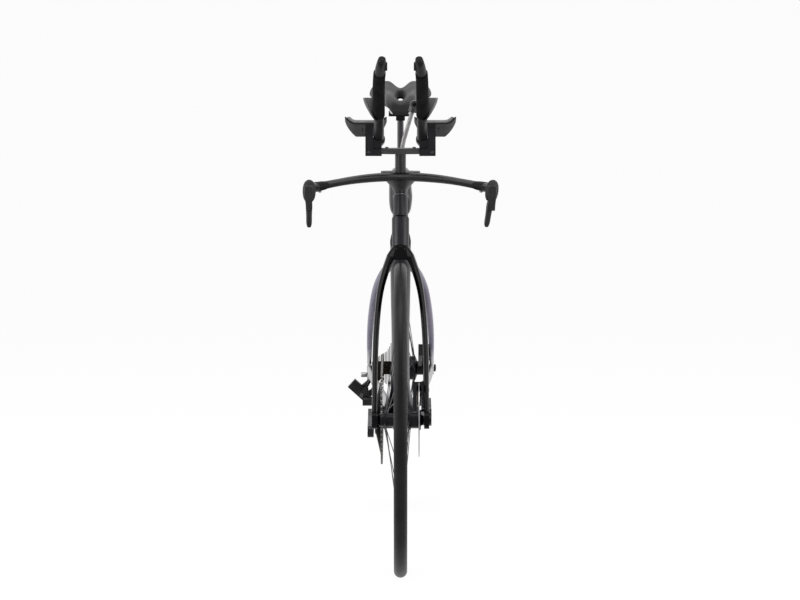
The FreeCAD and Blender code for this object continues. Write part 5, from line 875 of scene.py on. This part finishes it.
# Brake hoods and levers
# Rubber hoods pulled over short alloy bodies on the bar ends. The levers are moulded composite
# blades that swing on a steel pin.
hood_rubber = moulded("hood_rubber", (0.007, 0.007, 0.007), (0.015, 0.015, 0.015), rough=0.62, shine=0.13,
                      grain=0.0009, depth=0.00012)
dress(hood_rubber, "lever_hoods")
lever_satin = woven("lever_satin", (0.007, 0.007, 0.0075), (0.016, 0.016, 0.017), rough=0.28, shine=0.2)
dress(lever_satin, "brake_lever_right", "brake_lever_left")

lever_x, shield_half_width, shield_half_depth, shield_steps = 0.197, 0.0098, 0.0017, 24
# Down the shield: height, place along the bike and share of its width
shield_rows = ((0.848, -0.5030, 0.60), (0.8475, -0.5038, 0.86), (0.843, -0.5048, 1.0), (0.832, -0.5054, 0.98),
               (0.820, -0.5052, 0.88), (0.811, -0.5034, 0.76), (0.804, -0.5000, 0.70), (0.798, -0.4962, 0.68),
               (0.793, -0.4935, 0.64))


def squared(value, power):
    """Brings a sine or cosine nearer to a square wave, so that an oval gets fuller corners."""
    return math.copysign(abs(value) ** power, value)


def lever_face(name, body, side):
    """The lever's front shield: it runs up from the blade over the end of the hood."""
    verts = []
    for z, y, share in shield_rows:
        for angle in round_angles(shield_steps):
            verts.append((side * lever_x + shield_half_width * share * squared(math.cos(angle), 0.6),
                          y + shield_half_depth * squared(math.sin(angle), 0.8), z))
    faces = wrap(len(shield_rows), shield_steps, start=True, end=True)
    lay_up(name, verts, faces, lever_satin, body, "black_plastic")


lever_face("lever_face_right", "brake_lever_right", -1)
lever_face("lever_face_left", "brake_lever_left", 1)

# Cranks and chainring
# Hollow-forged alloy cranks on a steel spindle, black, with steel inserts for the pedals. The big ring
# is dished inwards from the crank, machined from plate, and its teeth are left bare.
bracket = (0, 0.1, 0.27)
dress(anodised("crank_black", (0.022, 0.022, 0.024), rough=0.3), "crank_arm_right", "crank_arm_left")
dress(bearing_steel, "crank_spindle")
ring_finish, ring_tree, ring_shader, ring_place = start_finish("ring_machined")
ring_lines, ring_axes = turned_grain(ring_tree, ring_place, bracket, scale=320, waver=0.8)
ring_flat = ring_tree.nodes.new("ShaderNodeVectorMath")
ring_flat.operation = "MULTIPLY"
ring_flat.inputs[1].default_value = (0, 1, 1)
ring_tree.links.new(ring_axes, ring_flat.inputs[0])
ring_reach = ring_tree.nodes.new("ShaderNodeVectorMath")
ring_reach.operation = "LENGTH"
ring_tree.links.new(ring_flat.outputs["Vector"], ring_reach.inputs[0])
ring_radius = 0.11
paint(ring_tree, ring_shader, span(ring_tree, ring_reach.outputs["Value"], 0.0, 1.0, 0.0, ring_radius),
      (0.0, (0.018, 0.018, 0.020)), (0.86, (0.030, 0.030, 0.032)), (0.89, (0.075, 0.075, 0.078)),
      (1.0, (0.14, 0.14, 0.143)))
polish(ring_tree, ring_shader, ring_lines, 0.24, 0.4, 0.0, 1.0)
ring_shader.inputs["Metallic"].default_value = 1.0
ring_shader.inputs["Specular Tint"].default_value = (0.12, 0.12, 0.125, 1)
press(ring_tree, ring_shader, (ring_lines, 0.00002))
dress(ring_finish, "chainring")

ring_bolts, ring_bolt_circle, ring_bolt_head, right_of_bike = 8, 0.036, (0.0042, 0.0014), -0.3
ring_seats = []
for angle in round_angles(ring_bolts):
    angle += math.pi / ring_bolts
    start = (right_of_bike, bracket[1] + ring_bolt_circle * math.cos(angle),
             bracket[2] + ring_bolt_circle * math.sin(angle))
    ring_seats.append(seat("chainring", start, (1, 0, 0), ring_bolt_head))
socket_bolts("chainring_bolts", "crankset", screw_black, ring_seats)
spindle_cap = (0.0117, 0.0018)
cap_seats = [(beside(bracket, -0.0728), (-1, 0, 0), *spindle_cap),
             (beside(bracket, 0.0698), (1, 0, 0), *spindle_cap)]
socket_bolts("spindle_caps", "crankset", screw_black, cap_seats)

pedal_pitch, pedal_threads, insert_steps = 0.00127, 10, 32
right_pedal, left_pedal = (-0.075, -0.067591, 0.258281), (0.072, 0.267591, 0.281719)
insert_rows = [(0.0092, -0.0005), (0.0092, 0.0002), (0.0089, 0.0004), (0.0073, 0.0004), (0.0070, 0.0001)]
for thread in range(pedal_threads):
    insert_rows += [(0.0070, -0.0004 - thread * pedal_pitch), (0.0066, -0.00104 - thread * pedal_pitch)]
insert_rows.append((0.0072, -0.0137))
insert_verts, insert_faces = [], []
for spot, aim in ((right_pedal, (-1, 0, 0)), (left_pedal, (1, 0, 0))):
    hollow_ring(insert_rows, insert_steps, insert_verts, insert_faces, aimed(spot, aim))
lay_up("pedal_thread_inserts", insert_verts, insert_faces, bearing_steel, "crankset", "silver_alloy")

# Chain, cassette and freehub
# Plated steel chain, a stepped steel cassette with a bronze tint, and an alloy freehub body. The chain's
# links are split into three pieces: the run, the links at the guide pulley and the slack side.
chain_steel = bare_steel("chain_steel", (0.21, 0.205, 0.20), rough=0.3)
dress(chain_steel, "chain")


def links_of(mesh):
    """The faces of each separate link of the chain."""
    leader = list(range(len(mesh.vertices)))

    def lead(number):
        while leader[number] != number:
            leader[number] = leader[leader[number]]
            number = leader[number]
        return number

    seen = {}
    for vert in mesh.vertices:
        twin = seen.setdefault(tuple(round(c, 6) for c in vert.co), vert.index)
        leader[lead(vert.index)] = lead(twin)
    for edge in mesh.edges:
        leader[lead(edge.vertices[0])] = lead(edge.vertices[1])
    links = {}
    for face in mesh.polygons:
        links.setdefault(lead(face.vertices[0]), []).append(face)
    return links.values()


slack_from_y, slack_below_z = 0.325, 0.2
guide_from_y, guide_below_z = 0.45, 0.272
chain_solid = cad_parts["chain"].data
chain_parts = {"chain_run": ([], []), "chain_at_guide": ([], []), "chain_slack": ([], [])}
for link in links_of(chain_solid):
    link_y = sum(face.center.y for face in link) / len(link)
    link_z = sum(face.center.z for face in link) / len(link)
    part = "chain_run"
    if link_y > slack_from_y and link_z < slack_below_z:
        part = "chain_slack"
    elif link_y > guide_from_y and link_z < guide_below_z:
        part = "chain_at_guide"
    verts, faces = chain_parts[part]
    moved = {}
    for face in link:
        for number in face.vertices:
            if number not in moved:
                moved[number] = len(verts)
                verts.append(chain_solid.vertices[number].co.copy())
        faces.append(tuple(moved[number] for number in face.vertices))
chain_run = lay_up("chain_run", *chain_parts["chain_run"], chain_steel, "frame", "chain_steel")
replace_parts(chain_run, "chain")
chain_at_guide = lay_up("chain_at_guide", *chain_parts["chain_at_guide"], chain_steel, None, "chain_steel")
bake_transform(chain_at_guide)
chain_slack = lay_up("chain_slack", *chain_parts["chain_slack"], chain_steel, None, "chain_steel")
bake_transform(chain_slack)
cassette_steel = bare_steel("cassette_steel", (0.040, 0.033, 0.027), rough=0.5)
_, cassette_shader, _ = open_up(cassette_steel)
cassette_shader.inputs["Specular Tint"].default_value = (0.03, 0.025, 0.02, 1)
dress(cassette_steel, "cassette")
lock_ring("cassette_lock_ring", "cassette", beside(rear_axle, -0.0612), (-1, 0, 0), screw_black)
dress(black_anodised, "freehub_body")

# Rear derailleur
# A forged mount on the hanger, two links and a knuckle in black plastic and alloy, a carbon-filled
# cage with toothed plastic pulleys, and a clip-on battery behind.
dress(black_anodised, "derailleur_mount")
dress(screw_black, "derailleur_outer_link", "derailleur_inner_link")
knuckle_black = moulded("knuckle_black", (0.006, 0.006, 0.0065), (0.013, 0.013, 0.014), rough=0.35, shine=0.16)
dress(knuckle_black, "derailleur_knuckle", "derailleur_battery")
dress(anodised("cage_satin", (0.026, 0.026, 0.028), rough=0.32), "derailleur_cage")
pulley_plastic = moulded("black_plastic", (0.005, 0.005, 0.0055), (0.011, 0.011, 0.012), rough=0.45,
                         shine=0.12)
dress(pulley_plastic, "guide_pulley", "tension_pulley")
pulley_bolt, pulley_bolt_head = (-0.05, 0.47615, 0.20885), (0.0044, 0.0016)
socket_bolts("pulley_bolt", "derailleur_cage", screw_black, [(pulley_bolt, (-1, 0, 0), *pulley_bolt_head)])
hanger_bolt = (-0.0728, 0.5515, 0.3172)
hanger_rows = [(0.0041, -0.001), (0.0041, 0.0045), (0.0055, 0.005), (0.0059, 0.0056), (0.0059, 0.0215),
               (0.0055, 0.0228), (0.0045, 0.0234), (0.0031, 0.0234), (0.0029, 0.019)]
hanger_verts, hanger_faces = [], []
turned_rings(hanger_rows, head_steps, hanger_verts, hanger_faces, aimed(hanger_bolt, (-1, 0, 0)), corners=2)
hanger_silver = anodised("hanger_silver", (0.24, 0.24, 0.245), rough=0.32)
lay_up("hanger_bolt", hanger_verts, hanger_faces, hanger_silver, "frame", "silver_alloy")
broken_edges("derailleur_battery", width=0.003, segments=4)

# Seatpost and saddle clamp
# A flat aero post of moulded carbon in the frame's lacquer, with a forged head bonded into its top.
# The cradle on the head grips the saddle's two round steel rails.
post_satin = sprayed("post_satin", (0.005, 0.0046, 0.006), (0.011, 0.0105, 0.0135), rough=0.36, shine=0.1)
dress(post_satin, "seatpost")
dress(black_anodised, "saddle_clamp")
broken_edges("saddle_clamp", width=0.0014, segments=3)
dress(bare_steel("rail_steel", (0.56, 0.56, 0.57), rough=0.26), "saddle_rails")

# Saddle
# A short nose saddle: foam glued to a moulded shell under a thin stretched cover. The middle is cut
# away in a long relief slot, and the cover is grey with a matt grain. Painted shade darkens the cover
# towards its lower edge.
shell_black = moulded("shell_black", (0.005, 0.005, 0.005), (0.010, 0.010, 0.010), rough=0.5, shine=0.1)
dress(shell_black, "saddle_shell")
cover_grey, cover_tree, cover_shader, cover_place = start_finish("saddle_cover_grey")
# Painted shade: below these heights the cover's colour goes to near black, for the shade on the saddle's lower
# sides and nose.
painted_shade_black, painted_shade_low, painted_shade_high = (0.010, 0.010, 0.0105), 0.992, 1.008
cover_cells = cells(cover_tree, cover_place, 1100)
cover_cloud = mottle(cover_tree, cover_place, 0.03)
cover_top = tint(cover_tree, cover_cloud, (0.3, (0.026, 0.026, 0.027)), (0.7, (0.042, 0.042, 0.0435)))
cover_rise = span(cover_tree, bike_axis(cover_tree, cover_place, "Z"), 0.0, 1.0, painted_shade_low, painted_shade_high)
cover_colour = colour_fade(cover_tree, cover_rise, painted_shade_black, cover_top)
cover_tree.links.new(cover_colour, cover_shader.inputs["Base Color"])
polish(cover_tree, cover_shader, cover_cells, 0.5, 0.65, 0.0, 0.6)
cover_shader.inputs["Specular IOR Level"].default_value = 0.15
cover_shader.inputs["Sheen Weight"].default_value = 0.05
press(cover_tree, cover_shader, (cover_cells, 0.00008))

saddle_nose, saddle_length, saddle_half = 0.102, 0.240, 0.0725
# Along the saddle: share of its length, share of its half width, crest height, channel depth, place of the
# crest as a share, drop of the shoulder and height of the underside
saddle_stations = [
    (0, 0.30, 1.002, 0.007, 0.72, 0.010, 0.978), (0.04, 0.44, 1.014, 0.012, 0.78, 0.009, 0.986),
    (0.16, 0.485, 1.0195, 0.016, 0.80, 0.009, 0.988), (0.4, 0.53, 1.020, 0.015, 0.74, 0.010, 0.9885),
    (0.62, 0.76, 1.024, 0.013, 0.60, 0.016, 0.9927), (0.8, 0.97, 1.035, 0.015, 0.47, 0.026, 1.0005),
    (0.93, 1, 1.042, 0.017, 0.42, 0.031, 1.0045), (1, 0.86, 1.037, 0.015, 0.42, 0.026, 1.002),
]
saddle_sections, crest_points, shoulder_points, least_skirt, hem_height = 49, 14, 13, 0.004, 0.0009


def eased(stations, run):
    """The stations' values at a place between them, on an even curve."""
    last = len(stations) - 1
    k = max(i for i in range(last) if stations[i][0] <= run or i == 0)
    a, b = stations[k], stations[k + 1]
    before, after = stations[max(k - 1, 0)], stations[min(k + 2, last)]
    t = (run - a[0]) / (b[0] - a[0])
    made = []
    for c in range(1, len(a)):
        slope_a = (b[c] - before[c]) / (b[0] - before[0]) * (b[0] - a[0])
        slope_b = (after[c] - a[c]) / (after[0] - a[0]) * (b[0] - a[0])
        made.append((2 * t**3 - 3 * t**2 + 1) * a[c] + (t**3 - 2 * t**2 + t) * slope_a
                    + (-2 * t**3 + 3 * t**2) * b[c] + (t**3 - t**2) * slope_b)
    return made


def saddle_ring(run):
    """One section: two crests beside the channel, round shoulders and a drawn-in flat underside."""
    wide, top, channel, crest, drop, base = eased(saddle_stations, run)
    half = saddle_half * wide
    edge = max(top - drop, base + least_skirt)
    y = saddle_nose + saddle_length * run
    half_ring = []
    for i in range(crest_points):
        share = i / (crest_points - 1)
        half_ring.append((half * crest * share, top - channel * (0.5 + 0.5 * math.cos(math.pi * share))))
    for i in range(1, shoulder_points):
        turn = math.pi / 2 * i / (shoulder_points - 1)
        half_ring.append((half * (crest + (1 - crest) * math.sin(turn)), edge + (top - edge) * math.cos(turn)))
    half_ring += [(half * 0.985, (edge + base) / 2), (half * 0.92, base + hem_height), (half * 0.88, base),
                  (half * 0.5, base), (0, base)]
    ring = half_ring + [(-x, z) for x, z in reversed(half_ring[1:-1])]
    return [Vector((x, y, z)) for x, z in ring]


saddle_verts = []
for section in range(saddle_sections):
    saddle_verts += saddle_ring(section / (saddle_sections - 1))
saddle_faces = wrap(saddle_sections, len(saddle_verts) // saddle_sections, start=True, end=True)
rough_saddle = rough_form("saddle_rough", saddle_verts, saddle_faces)

slot_half_width, slot_half_length, slot_middle, slot_steps, slot_power = 0.0132, 0.0827, 0.21805, 48, 0.91
below_saddle, above_saddle = 0.9, 1.1
slot_verts = []
for height in (below_saddle, above_saddle):
    for angle in round_angles(slot_steps):
        slot_verts.append((slot_half_width * squared(math.cos(angle), slot_power),
                           slot_middle + slot_half_length * squared(math.sin(angle), slot_power), height))
slot_knife = rough_form("relief_slot", slot_verts, wrap(2, slot_steps, start=True, end=True))
opened = rough_saddle.modifiers.new("slot", "BOOLEAN")
opened.operation = "DIFFERENCE"
opened.object = slot_knife
cut_verts, cut_faces = settled(rough_saddle)
bpy.data.objects.remove(slot_knife)
cover_cell, cover_rounds = 0.002, 7
saddle_cover = rounded_foam("saddle_cover", cut_verts, cut_faces, cover_cell, cover_rounds, cover_grey,
                            "saddle", "saddle_skin")
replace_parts(saddle_cover, "saddle_pad")

# Studio
# A wide floor of white paper that keeps a soft shadow, and an even white surround. Three large soft
# lamps stand left, right and above, and a long lens looks at the bike from the front.
floor_half, floor_drop, floor_glow_share = 90, -0.0006, 0.94
floor_signs = ((-1, -1), (1, -1), (1, 1), (-1, 1))
floor_corners = [(x * floor_half, y * floor_half, floor_drop) for x, y in floor_signs]
floor = rough_form("floor", floor_corners, [(0, 1, 2, 3)])
floor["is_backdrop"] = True


def seen_white(tree):
    """One where a ray from the lens, a mirror or clear plastic arrives."""
    path = tree.nodes.new("ShaderNodeLightPath").outputs
    direct = worked(tree, "MAXIMUM", path["Is Camera Ray"], path["Is Glossy Ray"])
    return worked(tree, "MAXIMUM", direct, path["Is Transmission Ray"])


floor_white, floor_tree, paper, _ = start_finish("floor_white")
paper.inputs["Base Color"].default_value = (0.9, 0.9, 0.9, 1)
paper.inputs["Roughness"].default_value = 0.9
paper.inputs["Specular IOR Level"].default_value = 0.0
glow = floor_tree.nodes.new("ShaderNodeEmission")
glow.inputs["Color"].default_value = (1, 1, 1, 1)
mixed = floor_tree.nodes.new("ShaderNodeMixShader")
floor_glow = worked(floor_tree, "MULTIPLY", seen_white(floor_tree), floor_glow_share)
floor_tree.links.new(floor_glow, mixed.inputs["Fac"])
floor_tree.links.new(paper.outputs["BSDF"], mixed.inputs[1])
floor_tree.links.new(glow.outputs["Emission"], mixed.inputs[2])
floor_tree.links.new(mixed.outputs["Shader"], floor_tree.nodes["Material Output"].inputs["Surface"])
floor.data.materials.append(floor_white)

world = bpy.data.worlds.new("studio")
bpy.context.scene.world = world
world.use_nodes = True
surround = world.node_tree.nodes["Background"]
surround.inputs["Color"].default_value = (1, 1, 1, 1)
lit_strength, seen_strength = 0.55, 1.0
surround_strength = span(world.node_tree, seen_white(world.node_tree), lit_strength, seen_strength, 0.0, 1.0)
world.node_tree.links.new(surround_strength, surround.inputs["Strength"])

bike_middle = Vector((0, 0, 0.55))
for name, spot, watts, size in (("left_lamp", (-2.7, -0.9, 1.7), 105, 2.4),
                                ("right_lamp", (2.7, -0.9, 1.7), 92, 2.4),
                                ("top_lamp", (0.0, -0.6, 3.4), 55, 2.2)):
    lamp = bpy.data.lights.new(name, "AREA")
    lamp.energy = watts
    lamp.size = size
    soft_box = bpy.data.objects.new(name, lamp)
    soft_box.location = spot
    soft_box.rotation_mode = "QUATERNION"
    soft_box.rotation_quaternion = (bike_middle - Vector(spot)).to_track_quat("-Z", "Y")
    bpy.context.scene.collection.objects.link(soft_box)

focal_pixels, picture_width, downward_tilt = 3775, 800, 5.46
lens = bpy.data.cameras.new("front_camera")
lens.sensor_width = 36
lens.lens = lens.sensor_width * focal_pixels / picture_width
lens.clip_start = 0.1
lens.clip_end = 100
camera = bpy.data.objects.new("front_camera", lens)
camera.location = (-0.0011, -8.6, 1.375)
camera.rotation_euler = (math.radians(90 - downward_tilt), 0, 0)
bpy.context.scene.collection.objects.link(camera)
bpy.context.scene.camera = camera
bpy.context.scene.view_settings.view_transform = "Standard"

# Size
# The size of the bike as it will show, the floor left out, is worked out.
low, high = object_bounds()
